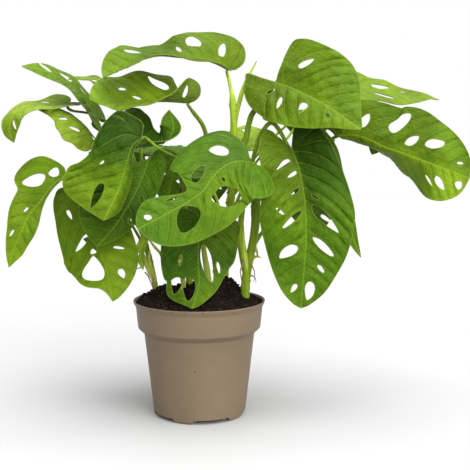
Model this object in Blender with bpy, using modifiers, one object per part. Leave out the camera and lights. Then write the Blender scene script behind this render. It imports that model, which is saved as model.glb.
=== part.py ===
"""Monstera adansonii, the Swiss cheese vine, growing in a 12 cm nursery pot.

Four rooted cuttings stand in one pot of soil. Each cutting is a stem with its leaf stalks, and each
leaf blade is a thin curved sheet with the holes that give the plant its name.

The tables give millimetres and the objects are built in metres. +X is to the right, +Z is up and
+Y points away from the side the plant shows. The origin is the middle of the pot's underside.
"""

import math
from dataclasses import dataclass, field

import bmesh
import bpy
import numpy as np
from mathutils import Vector
from mathutils.geometry import delaunay_2d_cdt

MM = 0.001
CLEARANCE = 0.3          # gap between neighbouring pieces
MERGE = 0.02             # points this close are one

# Pot: an injection-moulded nursery pot
POT_SIDES = 40
POT_FLOOR = 5.2          # top of the floor inside
POT_CHANNEL = 3.6        # height of the raised drainage channel under the floor
POT_CENTRE_FOOT = 22.0   # radius of the flat disc the pot stands on
POT_CHANNEL_EDGE = 34.0  # outer radius of the drainage channel
POT_WALL = [             # outer side, (radius, height) from the foot to the lip
    (41.0, 0.0), (42.3, 1.2), (43.2, 8.0), (51.0, 76.6), (56.5, 81.6), (58.4, 101.0), (60.4, 104.6),
    (60.8, 106.5),
]
POT_INSIDE = [           # inner side, from the lip to the floor
    (59.4, 106.5), (57.0, 101.2), (55.1, 82.4), (49.6, 77.3), (42.0, POT_FLOOR),
]
NOTCH_COUNT, NOTCH_WIDTH, NOTCH_TURN = 5, 29.0, -75.0
DRAIN_COUNT, DRAIN_RADIUS = 6, 3.0

# Soil: a mound heaped a little above the rim
SOIL_EDGE = 57.4
SOIL_EDGE_HEIGHT = 102.0
SOIL_MOUND = 13.0        # rise of the mound above the rim
SOIL_HEAPS = [(26, 10, 13, 12), (-30, 16, 12, 4), (-4, 24, 14, 6)]   # (x, y, spread, rise)

# Blades and stalks
BLADE_THICKNESS = 0.8
BLADE_STEP = 13.0        # spacing of the points inside a blade
STALK_TIP = 1.3          # radius of a stalk under its blade
STALK_FOOT = 2.3         # radius of a stalk at the stem
STALK_RISE = 10.0        # length along which a stalk clasps its stem
STALK_SLACK = 0.1        # allowance for the blade's waves over the stalk's end
STALK_DROOP = 0.007      # more allowance for each degree that a half falls beside its stalk

# Outlines of half a blade, from the notch at the stalk round to the tip.
# Across is in half-widths. Along is in lobe lengths behind the stalk and in blade lengths before it.
BLADE_EDGE = [
    (0.00, 0.00), (0.16, -0.62), (0.42, -1.00), (0.74, -0.72), (0.95, 0.05), (1.00, 0.22),
    (0.95, 0.42), (0.78, 0.63), (0.50, 0.81), (0.22, 0.93), (0.00, 1.00),
]
BLADE_HOLES = [(0.16, 0.45), (0.36, 0.50), (0.56, 0.50),
               (0.75, 0.42)]   # (along, across), if none are listed
HOLE_SLANT = 42.0


OBLONG = [
    (0.00, 0.00), (0.18, -0.60), (0.42, -0.95), (0.66, -0.50), (0.79, 0.06), (0.85, 0.18), (0.96, 0.33),
    (1.01, 0.45), (0.91, 0.60), (0.75, 0.74), (0.47, 0.89), (0.20, 0.97), (0.00, 1.00),
]
BLUNT = [
    (0.00, 0.00), (0.22, -0.70), (0.58, -0.80), (0.90, 0.05), (1.00, 0.25), (0.97, 0.40), (0.86, 0.58),
    (0.72, 0.75), (0.46, 0.88), (0.18, 0.97), (0.00, 1.00),
]
SHOULDER = [
    (0.00, 0.00), (0.25, -0.60), (0.55, -0.60), (0.64, 0.05), (0.69, 0.23), (0.86, 0.41), (0.93, 0.51),
    (0.90, 0.62), (0.73, 0.78), (0.57, 0.84), (0.41, 0.86), (0.24, 0.88), (0.10, 0.93), (0.00, 1.00),
]
FULL_END = [
    (0.00, 0.00), (0.22, -0.70), (0.58, -0.80), (0.87, 0.05), (0.92, 0.29), (0.91, 0.46), (0.86, 0.60),
    (0.78, 0.78), (0.72, 0.91), (0.60, 0.96), (0.40, 0.98), (0.15, 0.99), (0.00, 1.00),
]
WIDE_TOP = [
    (0.00, 0.00), (0.25, -0.60), (0.70, -0.60), (1.12, -0.10), (1.15, 0.18), (1.09, 0.39), (0.95, 0.54),
    (0.65, 0.68), (0.42, 0.81), (0.17, 0.94), (0.00, 1.00),
]
SQUARE = [
    (0.00, 0.00), (0.30, 0.06), (0.62, 0.10), (0.90, 0.13), (1.00, 0.24), (1.00, 0.48), (0.98, 0.72),
    (0.86, 0.86), (0.55, 0.95), (0.00, 1.00),
]
UPRIGHT = [
    (0.00, 0.00), (0.30, -0.06), (0.62, -0.16), (0.90, -0.14), (0.99, 0.06), (1.02, 0.26), (1.00, 0.44),
    (0.84, 0.61), (0.52, 0.78), (0.22, 0.91), (0.08, 0.98), (0.00, 1.00),
]
LONG_LOBE = [
    (0.00, 0.00), (0.02, -0.50), (0.04, -1.05), (0.30, -0.88), (0.68, -0.58), (0.94, -0.06), (1.02, 0.20),
    (0.94, 0.42), (0.70, 0.62), (0.38, 0.81), (0.12, 0.95), (0.00, 1.00),
]
ROUND_END = [
    (0.00, 0.00), (0.16, -0.62), (0.48, -1.00), (0.84, -0.64), (0.98, 0.04), (1.00, 0.20), (0.97, 0.40),
    (0.90, 0.60), (0.78, 0.78), (0.58, 0.90), (0.30, 0.97), (0.00, 1.00),
]
WIDE_END = [
    (0.00, 0.00), (0.25, 0.04), (0.60, 0.10), (0.86, 0.18), (1.00, 0.36), (1.02, 0.58), (1.00, 0.78),
    (0.86, 0.90), (0.50, 0.98), (0.00, 1.00),
]
LATE = [
    (0.00, 0.00), (0.20, -0.50), (0.52, -0.40), (0.74, 0.10), (0.88, 0.28), (1.00, 0.49), (0.93, 0.65),
    (0.72, 0.82), (0.38, 0.95), (0.00, 1.00),
]
SWEPT = [
    (0.00, 0.00), (0.25, 0.08), (0.50, 0.19), (0.80, 0.36), (0.99, 0.52), (1.00, 0.70), (0.88, 0.86),
    (0.62, 0.95), (0.28, 0.99), (0.00, 1.00),
]
WIDE_LOW = [
    (0.00, 0.00), (0.20, -0.90), (0.48, -0.60), (0.66, -0.10), (0.69, 0.16), (0.72, 0.34), (0.84, 0.45),
    (1.04, 0.57), (1.05, 0.76), (0.90, 0.91), (0.52, 0.97), (0.20, 0.99), (0.00, 1.00),
]
PINCHED = [
    (0.00, 0.00), (0.40, -0.30), (0.76, -0.05), (0.97, 0.08), (1.04, 0.22), (0.98, 0.36), (0.86, 0.46),
    (0.52, 0.51), (0.22, 0.55), (0.26, 0.62), (0.38, 0.71), (0.50, 0.82), (0.46, 0.90), (0.24, 0.97),
    (0.00, 1.00),
]
TAPERED = [
    (0.00, 0.00), (0.18, -0.30), (0.55, -0.10), (0.84, 0.04), (1.06, 0.15), (1.02, 0.27), (0.72, 0.38),
    (0.52, 0.54), (0.33, 0.75), (0.15, 0.90), (0.00, 1.00),
]
NARROW_BASE = [
    (0.00, 0.00), (0.15, 0.03), (0.22, 0.16), (0.32, 0.32), (0.84, 0.46), (1.00, 0.58), (0.86, 0.72),
    (0.72, 0.85), (0.30, 0.94), (0.00, 1.00),
]
HIGH_BASE = [
    (0.00, 0.00), (0.25, -0.80), (0.65, -0.80), (0.94, -0.15), (1.04, 0.12), (0.98, 0.26), (0.76, 0.38),
    (0.46, 0.50), (0.26, 0.62), (0.30, 0.78), (0.22, 0.91), (0.00, 1.00),
]


@dataclass
class Leaf:
    """One blade and its stalk. Left and right are as seen from above with the tip pointing away."""

    name: str
    stem: str
    height: float                     # where the stalk leaves its stem
    via: list                         # points the stalk passes
    rib: list                         # the midrib from the stalk to the tip
    face: list                        # where the upper side looks, at even stations from stalk to tip
    half: tuple                       # widest half-widths, left and right
    fold: tuple                       # rise of the left and right halves in degrees, each at even stations
    curl: tuple = (-12, -12)          # further turn of each half out to its edge, in degrees
    lobe: float = 14.0                # length of the lobes behind the stalk
    # (along, across, length, width, slant and, where it isn't 0.22, how far the hole narrows to its far end)
    holes: list = field(default_factory=list)
    edges: tuple = (BLADE_EDGE, BLADE_EDGE)     # the outline of each half, left and right
    wave: float = 1.2                 # height of the edge's waves


STEMS = {                             # radii at the foot and the top, and the route from the foot up
    "stem_left": (
        (3.4, 2.6), [(-40, 6, 66), (-41, 6, 112), (-46, 6, 141), (-51, 6, 162), (-54, 8, 190),
                     (-52, 12, 218)]),
    "stem_middle": (
        (3.4, 2.6), [(-10, 19, 66), (-10, 19, 118), (-12, 21, 155), (-14, 21, 195), (-11, 18, 231)]),
    "stem_tall": (
        (4.0, 3.4), [(24, 21, 66), (24, 21, 124), (27, 21, 165), (30, 18, 210), (32, 13, 252),
                     (30, 12, 298)]),
    "stem_right": (
        (5.0, 4.0), [(43, -3, 66), (43, -3, 117), (46, -3, 141), (51, -3, 167), (52, -2, 194),
                     (50, 0, 222)]),
}
# The youngest leaf, still rolled
SPEAR = [(32, 13, 262), (34, 14, 275), (37, 16, 287), (42, 19, 303), (53, 21, 325)]
SPEAR_RADII = (2.8, 2.4, 2.2, 1.7, 0.4)

LEAVES = [
    Leaf("leaf_top", "stem_tall", 292, [],
         [(27, 12, 317), (14, 8, 323), (0, 3, 326), (-16, -3, 327), (-34, -8, 328), (-47, -12, 325),
          (-61, -17, 318), (-83, -23, 308)],
         [(0, -0.2, 1)], (26, 37), ([14, 11, 10, 16, 22], [58, 54, 46, 32, 14, 13, 33, 47, 50]),
         (-4, -12), 13,
         [(0.08, 0.5, 16, 6, 0), (0.26, 0.62, 15, 13, 10), (0.38, 0.38, 9, 5, 20),
          (0.69, 0.52, 14, 7, 60),
          (0.35, -0.5, 14, 6, 40), (0.6, -0.45, 11, 5, 40)], (BLADE_EDGE, ROUND_END)),
    Leaf("leaf_shelf", "stem_middle", 227, [(1, 8, 262), (-2, 5, 272)],
         [(-9, -2, 287), (-30, -8, 288), (-51, -14, 287), (-73, -18, 285), (-88, -22, 287),
          (-94, -25, 289)],
         [(0, -0.2, 1)], (27, 40), ([85, 30, 6, -6, -6], [36, 36, 38, 36, 34]), (-8, -8), 9,
         [(0.26, 0.63, 24, 9.5, 32), (0.52, 0.17, 9, 3.5, 55), (0.07, -0.52, 13, 5, 0),
          (0.66, 0.55, 10, 4, 60)],
         (BLADE_EDGE, SQUARE)),
    Leaf("leaf_feather", "stem_left", 214, [(-70, 26, 244), (-86, 30, 256)],
         [(-95, 29, 272), (-103, 23, 286), (-112, 14, 298), (-124, 6, 308), (-138, 0, 315),
          (-158, -4, 319)],
         [(0.8, -0.3, 0.6), (0.6, -0.35, 0.8), (0.3, -0.5, 0.8)], (18, 22), ([10, 10, 10], [5, 5, 0]),
         lobe=8,
         holes=[(0.53, 0.44, 15, 9, 75), (0.77, 0.28, 16, 6, 58), (0.3, 0.5, 10, 4, 70),
                (0.45, -0.5, 10, 4, 60)]),
    Leaf("leaf_far_left", "stem_left", 216, [(-60, 40, 264)],
         [(-84, 50, 305), (-101, 48, 310), (-113, 45, 311), (-124, 41, 309)],
         [(0, -0.2, 1)], (16, 18), ([0], [5]), lobe=8, holes=[(0.4, -0.5, 10, 5, 40),
                                                              (0.4, 0.5, 10, 5, 40)]),
    Leaf("leaf_hook", "stem_left", 211, [(-72, 44, 254), (-98, 52, 274), (-114, 42, 282)],
         [(-122, 20, 287), (-131, 13, 286), (-141, 6, 285), (-152, -2, 284), (-161, -8, 280),
          (-167, -12, 272), (-168, -13, 261), (-165, -12, 251)],
         [(0, -0.1, 1), (-0.1, -0.15, 1), (-0.3, -0.4, 0.9), (-0.3, -1, 0.3)], (22, 19),
         ([4, 0, 10], [32, 12, 0, 10]), lobe=8,
         holes=[(0.25, 0.45, 12, 5, 60), (0.25, -0.45, 12, 5, 60), (0.52, 0.3, 12, 3, 80),
                (0.8, -0.25, 10, 3, 70)]),
    Leaf("leaf_pale_left", "stem_left", 208, [(-68, 26, 240), (-86, 22, 252)],
         [(-101, 16, 259), (-109, 12, 268), (-119, 8, 276), (-130, 4, 281), (-144, -2, 280)],
         [(0.2, -0.3, 1)], (24, 20), ([-42, -45, -35], [-8, -8, 0]), lobe=10,
         holes=[(0.27, -0.42, 12, 3, 76), (0.55, -0.34, 11, 2.6, 62), (0.45, 0.5, 9, 4, 50)]),
    Leaf("leaf_outer_left", "stem_left", 196, [(-72, 6, 217), (-97, 0, 224)],
         [(-120, -10, 222), (-132, -14, 212), (-142, -18, 198), (-151, -20, 187), (-158, -22, 172),
          (-166, -20, 155), (-171, -18, 139)],
         [(0, -1, 0.4), (0, -1, 0.2), (0, -1, 0.1)], (12, 34), ([-20, -10, 0], [0, 0, -10]),
         (-10, -25), 12,
         [(0.06, 0.25, 10, 9.4, 55), (0.21, 0.50, 20, 11, 39), (0.46, 0.15, 5, 2.7, 75),
          (0.7, 0.22, 8, 2.5, 80)],
         (NARROW_BASE, TAPERED)),
    Leaf("leaf_front_left", "stem_middle", 216, [(-8, -2, 230), (-20, -21, 238), (-33, -45, 247)],
         [(-47, -48, 256), (-55, -51, 249), (-60, -55, 233), (-65, -57, 216), (-72, -60, 200),
          (-79, -62, 186)],
         [(-0.1, -1, 0.2), (-0.2, -1, 0.4), (-0.1, -1, 0.2)], (15, 47), ([-50, -84, -84, -70], [0, 8, 0]),
         (0, -6), 10,
         [(0.78, 0.32, 25, 8, 91), (0.40, 0.45, 5, 2.5, 50)], (NARROW_BASE, WIDE_LOW)),
    Leaf("leaf_crest", "stem_left", 214, [(-66, 8, 228), (-80, 0, 236)],
         [(-80, -13, 246), (-69, -18, 247), (-55, -24, 248), (-40, -29, 249), (-28, -30, 253),
          (-21, -27, 263), (-25, -21, 280)],
         [(0, -0.2, 1), (0, -0.25, 1), (0, -0.3, 1), (0.2, -0.6, 0.8), (0.5, -0.9, 0.2)], (42, 13),
         ([48, 50, 45, 20, 0], [-35, -20, 40, 40, 10]), (-10, 0), 18,
         [(0.3, -0.45, 11, 4, 45), (0.16, -0.55, 12, 4, 45)], (HIGH_BASE, BLADE_EDGE)),
    Leaf("leaf_under_left", "stem_left", 204, [(-46, 0, 226)],
         [(-43, -21, 237), (-48, -27, 222), (-57, -33, 203), (-72, -36, 179), (-89, -34, 160)],
         [(0.1, -1, 0.3)], (17, 40), ([0], [0]), lobe=5,
         holes=[(0.36, 0.4, 15, 6, 62), (0.62, 0.5, 15, 6, 62), (0.4, -0.5, 9, 4, 42),
                (0.62, -0.5, 7, 3, 42)],
         edges=(BLADE_EDGE, SWEPT)),
    Leaf("leaf_low_left", "stem_left", 165, [(-66, 14, 186), (-80, 18, 202)],
         [(-110, 4, 206), (-109, -2, 195), (-104, -8, 177), (-94, -14, 161), (-86, -18, 147),
          (-81, -21, 131), (-77, -24, 109)],
         [(-0.1, -1, 0.2), (-0.1, -1, 0.15), (0, -1, 0.25)], (39, 38), ([-5], [-5]), lobe=10,
         holes=[(0.18, 0.30, 10, 3.8, 106), (0.42, 0.28, 19, 6.5, 20), (0.54, 0.13, 7, 5, 5),
                (0.69, 0.31, 26, 20, 70, -0.45),
                (0.61, -0.44, 10, 2.4, 25), (0.79, -0.32, 9, 6, 74)], edges=(BLUNT, SHOULDER)),
    Leaf("leaf_centre", "stem_right", 216, [(50, -20, 232)],
         [(46, -40, 235), (35, -48, 236), (24, -54, 232), (14, -60, 223), (6, -66, 212), (-8, -72, 202),
          (-25, -78, 193), (-48, -84, 181)],
         [(0, -0.8, 0.6), (0.05, -0.9, 0.45), (0, -0.8, 0.5)], (39, 42), ([0, -5, -10], [0, -8, -5]),
         (-10, -25), 17,
         [(0.39, -0.52, 27, 18, 139), (0.67, -0.32, 24, 19.5, 55), (0.90, 0.13, 8, 5, 43),
          (0.39, 0.30, 19, 9, 94), (0.17, 0.42, 16, 10, 29), (0.31, -0.22, 5, 3.2, 24),
          (0.69, 0.24, 13, 2.6, 82)], (ROUND_END, PINCHED)),
    Leaf("leaf_low_front", "stem_middle", 130, [(-4, 4, 160)],
         [(3, -26, 184), (1, -35, 165), (1, -43, 146), (2, -48, 132), (0, -51, 121), (-4, -54, 108)],
         [(0, -1, 0.2)], (31, 37), ([-5], [-5]), lobe=9,
         holes=[(0.76, 0.57, 25, 10.5, 92), (0.46, 0.43, 10, 3.5, 81), (0.79, 0.22, 25, 11, 104),
                (0.51, -0.24, 34, 10, 79), (0.56, -0.56, 12, 3.5, 84)],
         edges=(WIDE_TOP, FULL_END)),
    Leaf("leaf_great", "stem_right", 128, [(38, -5, 160), (40, -6, 190), (45, -7, 213), (54, -8, 242),
                                           (66, -14, 262)],
         [(83, -22, 246), (89, -30, 230), (93, -36, 210), (95, -40, 189), (95, -44, 163), (93, -46, 136),
          (91, -46, 107)],
         [(0.05, -1, 0.3), (0.05, -1, 0.1), (0, -1, 0)], (42, 40), ([35, 20, 0], [5, 0, 0]),
         (-20, -10), 17,
         [(0.09, 0.32, 17, 6.5, 17), (0.17, 0.18, 10, 4, 24), (0.28, 0.19, 9, 3.5, 31),
          (0.46, 0.32, 23, 5, 42), (0.40, 0.56, 10, 3.5, 132), (0.66, 0.38, 19, 9.5, 39),
          (0.88, 0.19, 9, 4.5, 58), (0.33, -0.23, 8, 3, 38), (0.46, -0.40, 32, 8, 46, 0.45),
          (0.62, -0.37, 24, 6, 38), (0.75, -0.35, 9, 4, 44), (0.89, -0.15, 17, 9, 96)], (OBLONG, OBLONG)),
    Leaf("leaf_behind_great", "stem_right", 200, [(78, 14, 236)],
         [(110, 4, 256), (119, 4, 240), (126, 4, 216), (135, 3, 187), (142, 2, 163), (149, 2, 145)],
         [(0.1, -1, 0.2)], (9, 13), ([0], [0]), lobe=5,
         holes=[(0.3, 0.5, 8, 3, 42), (0.6, 0.5, 7, 3, 42)]),
    Leaf("leaf_crown", "stem_right", 218, [(46, 1, 244), (46, 2, 266), (54, 3, 285)],
         [(69, -4, 305), (82, -14, 300), (94, -24, 294), (107, -33, 287), (123, -44, 276),
          (140, -54, 263)],
         [(-0.1, -0.7, 0.7)], (48, 36), ([32, 30, 15, 5], [-5, -10, -10]), (-15, -20), 30,
         [(0.18, -0.54, 15, 6, 26), (0.44, 0.40, 14, 8.5, 22), (0.20, 0.52, 12, 5, 20),
          (0.68, 0.20, 6, 3.5, 70), (0.03, 0.30, 9, 3.5, 151)],
         (UPRIGHT, LONG_LOBE)),
    Leaf("leaf_sliver", "stem_tall", 210, [(66, 25, 252), (104, 30, 284)],
         [(131, 28, 302), (151, 30, 301), (173, 33, 296), (197, 36, 293), (225, 38, 290)],
         [(0, -0.15, 1)], (28, 26), ([34, 30, 15], [-10, -14, -5]), lobe=12,
         holes=[(0.42, -0.45, 20, 7, 80), (0.42, 0.42, 20, 7, 80), (0.66, -0.4, 9, 3, 75)]),
    Leaf("leaf_outer_right", "stem_right", 196, [(76, 16, 224), (108, 14, 246)],
         [(127, 3, 257), (140, -1, 258), (154, -6, 254), (168, -12, 247), (185, -17, 241),
          (204, -21, 234), (223, -25, 227), (240, -28, 220)],
         [(0, -1, 0.12), (0.05, -1, 0.12)], (43, 31), ([0], [-92, -91, -88, -66, -16, 0]), (-12, -4), 10,
         [(0.16, -0.34, 14, 6.5, 11), (0.39, -0.58, 26, 15, 42), (0.53, -0.31, 14, 7, 41),
          (0.69, -0.41, 18, 9, 65),
          (0.90, -0.22, 6, 3, 70), (0.82, 0.45, 15, 6, 55), (0.74, 0.5, 12, 2.5, 55),
          (0.95, 0.3, 8, 7, 30)],
         (LATE, WIDE_END)),
    Leaf("leaf_peep", "stem_tall", 184, [(70, 38, 220), (130, 42, 255)],
         [(170, 30, 258), (166, 28, 249), (161, 26, 239)],
         [(0, -1, 0.3)], (8, 9), ([0], [0]), lobe=5, holes=[(0.4, 0.4, 6, 3, 40)]),
    Leaf("leaf_pale_back", "stem_tall", 175, [(46, 38, 220)],
         [(61, 48, 252), (47, 51, 255), (33, 52, 255), (15, 52, 250)],
         [(0, -0.6, 0.8)], (19, 19), ([0], [0]), lobe=8, holes=[(0.4, 0.5, 10, 5, 42),
                                                                (0.45, -0.5, 10, 5, 42)]),
    Leaf("leaf_inner", "stem_middle", 206, [(-20, 14, 226)],
         [(-20, 7, 240), (-23, 3, 224), (-29, -4, 194)],
         [(0, -1, 0.3)], (11, 22), ([10], [10]), lobe=3, holes=[(0.45, 0.45, 8, 3, 42),
                                                                (0.5, -0.45, 8, 3, 42)]),
    Leaf("leaf_faded", "stem_middle", 134, [(-26, 6, 160)],
         [(-44, -6, 168), (-47, -9, 151), (-51, -11, 131)],
         [(-0.3, -1, 0.1)], (8, 9), ([10], [10]), lobe=4, holes=[(0.5, 0.4, 5, 2, 60)]),
    Leaf("leaf_rear_right", "stem_tall", 200, [(70, 33, 240)],
         [(90, 47, 271), (102, 80, 281), (115, 115, 266), (120, 135, 229)],
         [(0, -0.1, 1), (0.1, 0.5, 1), (0.2, 1, 0.2)], (36, 36), ([10, -5, -10], [10, -5, -10])),
    Leaf("leaf_rear_left", "stem_middle", 205, [(-20, 40, 224)],
         [(-38, 60, 240), (-54, 82, 246), (-75, 108, 230), (-85, 122, 200)],
         [(0, -0.1, 1), (-0.1, 0.5, 1), (-0.2, 1, 0.2)], (34, 36), ([10, -5, -10], [10, -5, -10])),
    Leaf("leaf_rear_middle", "stem_tall", 155, [(16, 38, 195)],
         [(8, 52, 219), (4, 78, 227), (-4, 106, 208), (-10, 120, 165)],
         [(0, -0.1, 1), (0, 0.5, 1), (0, 1, 0.2)], (38, 36), ([10, -5, -10], [10, -5, -10])),
    Leaf("leaf_rear_low_right", "stem_right", 155, [(72, 22, 185)],
         [(91, 40, 205), (105, 66, 199), (114, 86, 155)],
         [(0, 0, 1), (0.1, 0.6, 0.8), (0.2, 1, 0)], (30, 30), ([10, -5], [10, -5])),
    Leaf("leaf_rear_low_left", "stem_left", 150, [(-66, 22, 177)],
         [(-76, 36, 189), (-95, 60, 177), (-106, 80, 141)],
         [(0, 0, 1), (-0.2, 0.6, 0.8), (-0.3, 1, 0)], (30, 30), ([10, -5], [10, -5])),
]

MATERIALS = {                          # base colour and roughness
    "pot": ((0.30, 0.225, 0.145), 0.62),
    "soil": ((0.030, 0.020, 0.014), 0.95),
    "stem": ((0.24, 0.38, 0.04), 0.45),
    "leaf": ((0.085, 0.24, 0.012), 0.38),
    "leaf_pale": ((0.25, 0.42, 0.03), 0.40),
}
PALE_LEAVES = {"leaf_pale_left", "leaf_sliver", "leaf_pale_back", "leaf_faded"}


def material(name):
    """The Principled material of that name, made once."""
    if name in bpy.data.materials:
        return bpy.data.materials[name]
    made = bpy.data.materials.new(name)
    made.use_nodes = True
    shader = made.node_tree.nodes["Principled BSDF"]
    colour, roughness = MATERIALS[name]
    shader.inputs["Base Color"].default_value = (*colour, 1)
    shader.inputs["Roughness"].default_value = roughness
    shader.inputs["Metallic"].default_value = 0
    return made


def add_object(name, data, collection, finish):
    """Links a new object for this mesh or curve, with its finish."""
    data.materials.clear()
    data.materials.append(material(finish))
    obj = bpy.data.objects.new(name, data)
    collection.objects.link(obj)
    return obj


def as_mesh_object(obj, finish):
    """Replaces an object by the plain mesh that it evaluates to, with doubled points merged."""
    bpy.context.view_layer.update()
    graph = bpy.context.evaluated_depsgraph_get()
    mesh = bpy.data.meshes.new_from_object(obj.evaluated_get(graph))
    mesh.transform(obj.matrix_world)
    bm = bmesh.new()
    bm.from_mesh(mesh)
    bmesh.ops.remove_doubles(bm, verts=bm.verts, dist=MERGE * MM)
    bm.to_mesh(mesh)
    bm.free()
    name, collection = obj.name, obj.users_collection[0]
    bpy.data.objects.remove(obj)
    return add_object(name, mesh, collection, finish)


def shade_smooth(obj, angle=40):
    obj.data.shade_smooth()
    obj.data.set_sharp_from_angle(angle=math.radians(angle))


def smooth_route(points, steps):
    """Points of a Catmull-Rom curve through the given points, with this many steps a span."""
    points = [np.array(p, float) for p in points]
    ends = [2 * points[0] - points[1], *points, 2 * points[-1] - points[-2]]
    route = []
    for a, b, c, d in zip(ends, ends[1:], ends[2:], ends[3:]):
        for t in np.arange(steps) / steps:
            square, cube = 2 * a - 5 * b + 4 * c - d, 3 * b - a - 3 * c + d
            route.append(0.5 * (2 * b + (c - a) * t + square * t**2 + cube * t**3))
    return np.array([*route, points[-1]])


def resample(route, count):
    """The route as this many points, evenly spaced along it."""
    run = np.concatenate([[0], np.cumsum(np.linalg.norm(np.diff(route, axis=0), axis=1))])
    at = np.linspace(0, run[-1], count)
    return np.stack([np.interp(at, run, route[:, i]) for i in range(route.shape[1])], axis=1)


def along_blade(stations, share):
    """A value at each share of the length, eased between its even stations from the base to the tip."""
    stations = np.array(stations, float)
    at = np.clip(share, 0, 1) * (len(stations) - 1)
    low = np.minimum(at.astype(int), max(len(stations) - 2, 0))
    t = at - low
    t = 0.5 * t + 0.5 * t * t * (3 - 2 * t)
    high = np.minimum(low + 1, len(stations) - 1)
    if stations.ndim > 1:
        t = t[:, None]
    return stations[low] * (1 - t) + stations[high] * t


def unit(v):
    return v / np.linalg.norm(v, axis=-1, keepdims=True)


class Spine:
    """A blade's midrib, with the direction of travel, up and right at each of its samples."""

    def __init__(self, leaf, samples=80):
        self.points = resample(smooth_route(leaf.rib, 16), samples)
        self.run = np.concatenate([[0], np.cumsum(np.linalg.norm(np.diff(self.points, axis=0), axis=1))])
        self.length = self.run[-1]
        self.ahead = unit(np.gradient(self.points, axis=0))
        look = unit(along_blade(leaf.face, self.run / self.length))
        self.up = unit(look - self.ahead * (look * self.ahead).sum(1, keepdims=True))
        self.right = np.cross(self.ahead, self.up)

    def at(self, values, along):
        return np.stack([np.interp(along, self.run, values[:, i]) for i in range(3)], axis=1)


def bend(leaf, spine, flat):
    """Carries points (across, along) of the flat blade to their places in space."""
    across, along = flat[:, 0], flat[:, 1]
    on_rib = np.clip(along, 0, spine.length)
    share = on_rib / spine.length
    side = (across > 0).astype(int)
    half = np.array(leaf.half, float)[side]
    fold = np.where(side == 1, along_blade(leaf.fold[1], share), along_blade(leaf.fold[0], share))
    curl = np.array(leaf.curl, float)[side]
    reach = np.abs(across)
    out, rise = np.zeros_like(reach), np.zeros_like(reach)
    steps = 24
    for k in range(steps):
        t = (k + 0.5) / steps * reach
        angle = np.radians(fold * (1 - np.exp(-t / 3)) + curl * t / half)
        out += np.cos(angle) * reach / steps
        rise += np.sin(angle) * reach / steps
    rise += leaf.wave * np.sin(2 * math.pi * (2.3 * share + 0.3 * side)) * (reach / half) ** 2
    place, ahead, up, right = (
        spine.at(values, on_rib) for values in (spine.points, spine.ahead, spine.up, spine.right))
    behind = np.minimum(along, 0)[:, None]
    return place + ahead * behind + right * (out * np.sign(across))[:, None] + up * rise[:, None]


def blade_edge(leaf, length, steps):
    """The closed outline of the flat blade, and how many of its points lie on the right half."""
    sides = []
    for sign, half, outline in ((1, leaf.half[1], leaf.edges[1]), (-1, leaf.half[0], leaf.edges[0])):
        points = [(sign * half * x, leaf.lobe * y if y < 0 else length * y) for x, y in outline]
        sides.append(smooth_route(points, steps))
    right, left = sides
    right[0] = left[0] = (0, 0)
    right[-1] = left[-1] = (0, length)
    return np.concatenate([right, left[-2:0:-1]]), len(right)


def hole_edges(leaf, length, sides):
    """The outline of each hole in the flat blade: an oval whose long axis follows the side veins."""
    holes = leaf.holes or [
        (along, sign * across, 0.42 * leaf.half[0], 0.17 * leaf.half[0], HOLE_SLANT)
        for sign in (-1, 1) for along, across in BLADE_HOLES
    ]
    turns = np.arange(sides) * 2 * math.pi / sides
    for along, across, long_axis, short_axis, slant, *narrows in holes:
        sign = -1 if across < 0 else 1
        half = leaf.half[1 if across > 0 else 0]
        taper = narrows[0] if narrows else 0.22
        a = long_axis / 2 * np.cos(turns)
        b = short_axis / 2 * np.sin(turns) * (1 - taper * np.cos(turns))
        c, s = math.cos(math.radians(slant)), math.sin(math.radians(slant))
        yield np.stack([across * half + sign * (a * c - b * s), along * length + a * s + b * c], axis=1)


def inside(points, loop):
    """Which points lie inside the closed loop."""
    found = np.zeros(len(points), bool)
    for (x1, y1), (x2, y2) in zip(loop, np.roll(loop, -1, axis=0)):
        crosses = (y1 > points[:, 1]) != (y2 > points[:, 1])
        slope = (x2 - x1) / (y2 - y1) if y2 != y1 else 0
        found ^= crosses & (points[:, 0] < x1 + slope * (points[:, 1] - y1))
    return found


def clear_of(points, others, distance):
    gaps = np.linalg.norm(points[:, None] - others[None], axis=2).min(axis=1)
    return points[gaps > distance]


def flat_blade(leaf, length, step, edge_steps, hole_sides):
    """The flat blade's points and triangles, without its holes and with an edge along the midrib."""
    edge, _ = blade_edge(leaf, length, edge_steps)
    holes = list(hole_edges(leaf, length, hole_sides))
    loops = [edge, *holes]
    rib_at = np.linspace(0, length, max(3, round(length / step)) + 1)
    rib = np.stack([np.zeros(len(rib_at)), rib_at], axis=1)
    rows = np.arange(-leaf.lobe, length, step * 0.9)
    columns = np.arange(-max(leaf.half), max(leaf.half), step)
    grid = np.array([(x + (i % 2) * step / 2, y) for i, y in enumerate(rows) for x in columns])
    grid = grid[inside(grid, edge)]
    for hole in holes:
        grid = grid[~inside(grid, hole)]
    grid = clear_of(grid, np.concatenate([*loops, rib]), step * 0.5)
    points, edges = [], []
    for loop in loops:
        first = len(points)
        points += list(loop)
        edges += [(first + i, first + (i + 1) % len(loop)) for i in range(len(loop))]
    tip = int(np.argmax(edge[:, 1]))
    chain = [0, *range(len(points), len(points) + len(rib) - 2), tip]
    points += list(rib[1:-1])
    edges += list(zip(chain, chain[1:]))
    points += list(grid)
    verts, _, faces, *_ = delaunay_2d_cdt([Vector(p) for p in points], edges, [], 0, 1e-5)
    verts = np.array(verts)
    faces = np.array(faces)
    middles = verts[faces].mean(axis=1)
    keep = inside(middles, edge)
    for hole in holes:
        keep &= ~inside(middles, hole)
    return verts, faces[keep]


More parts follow.
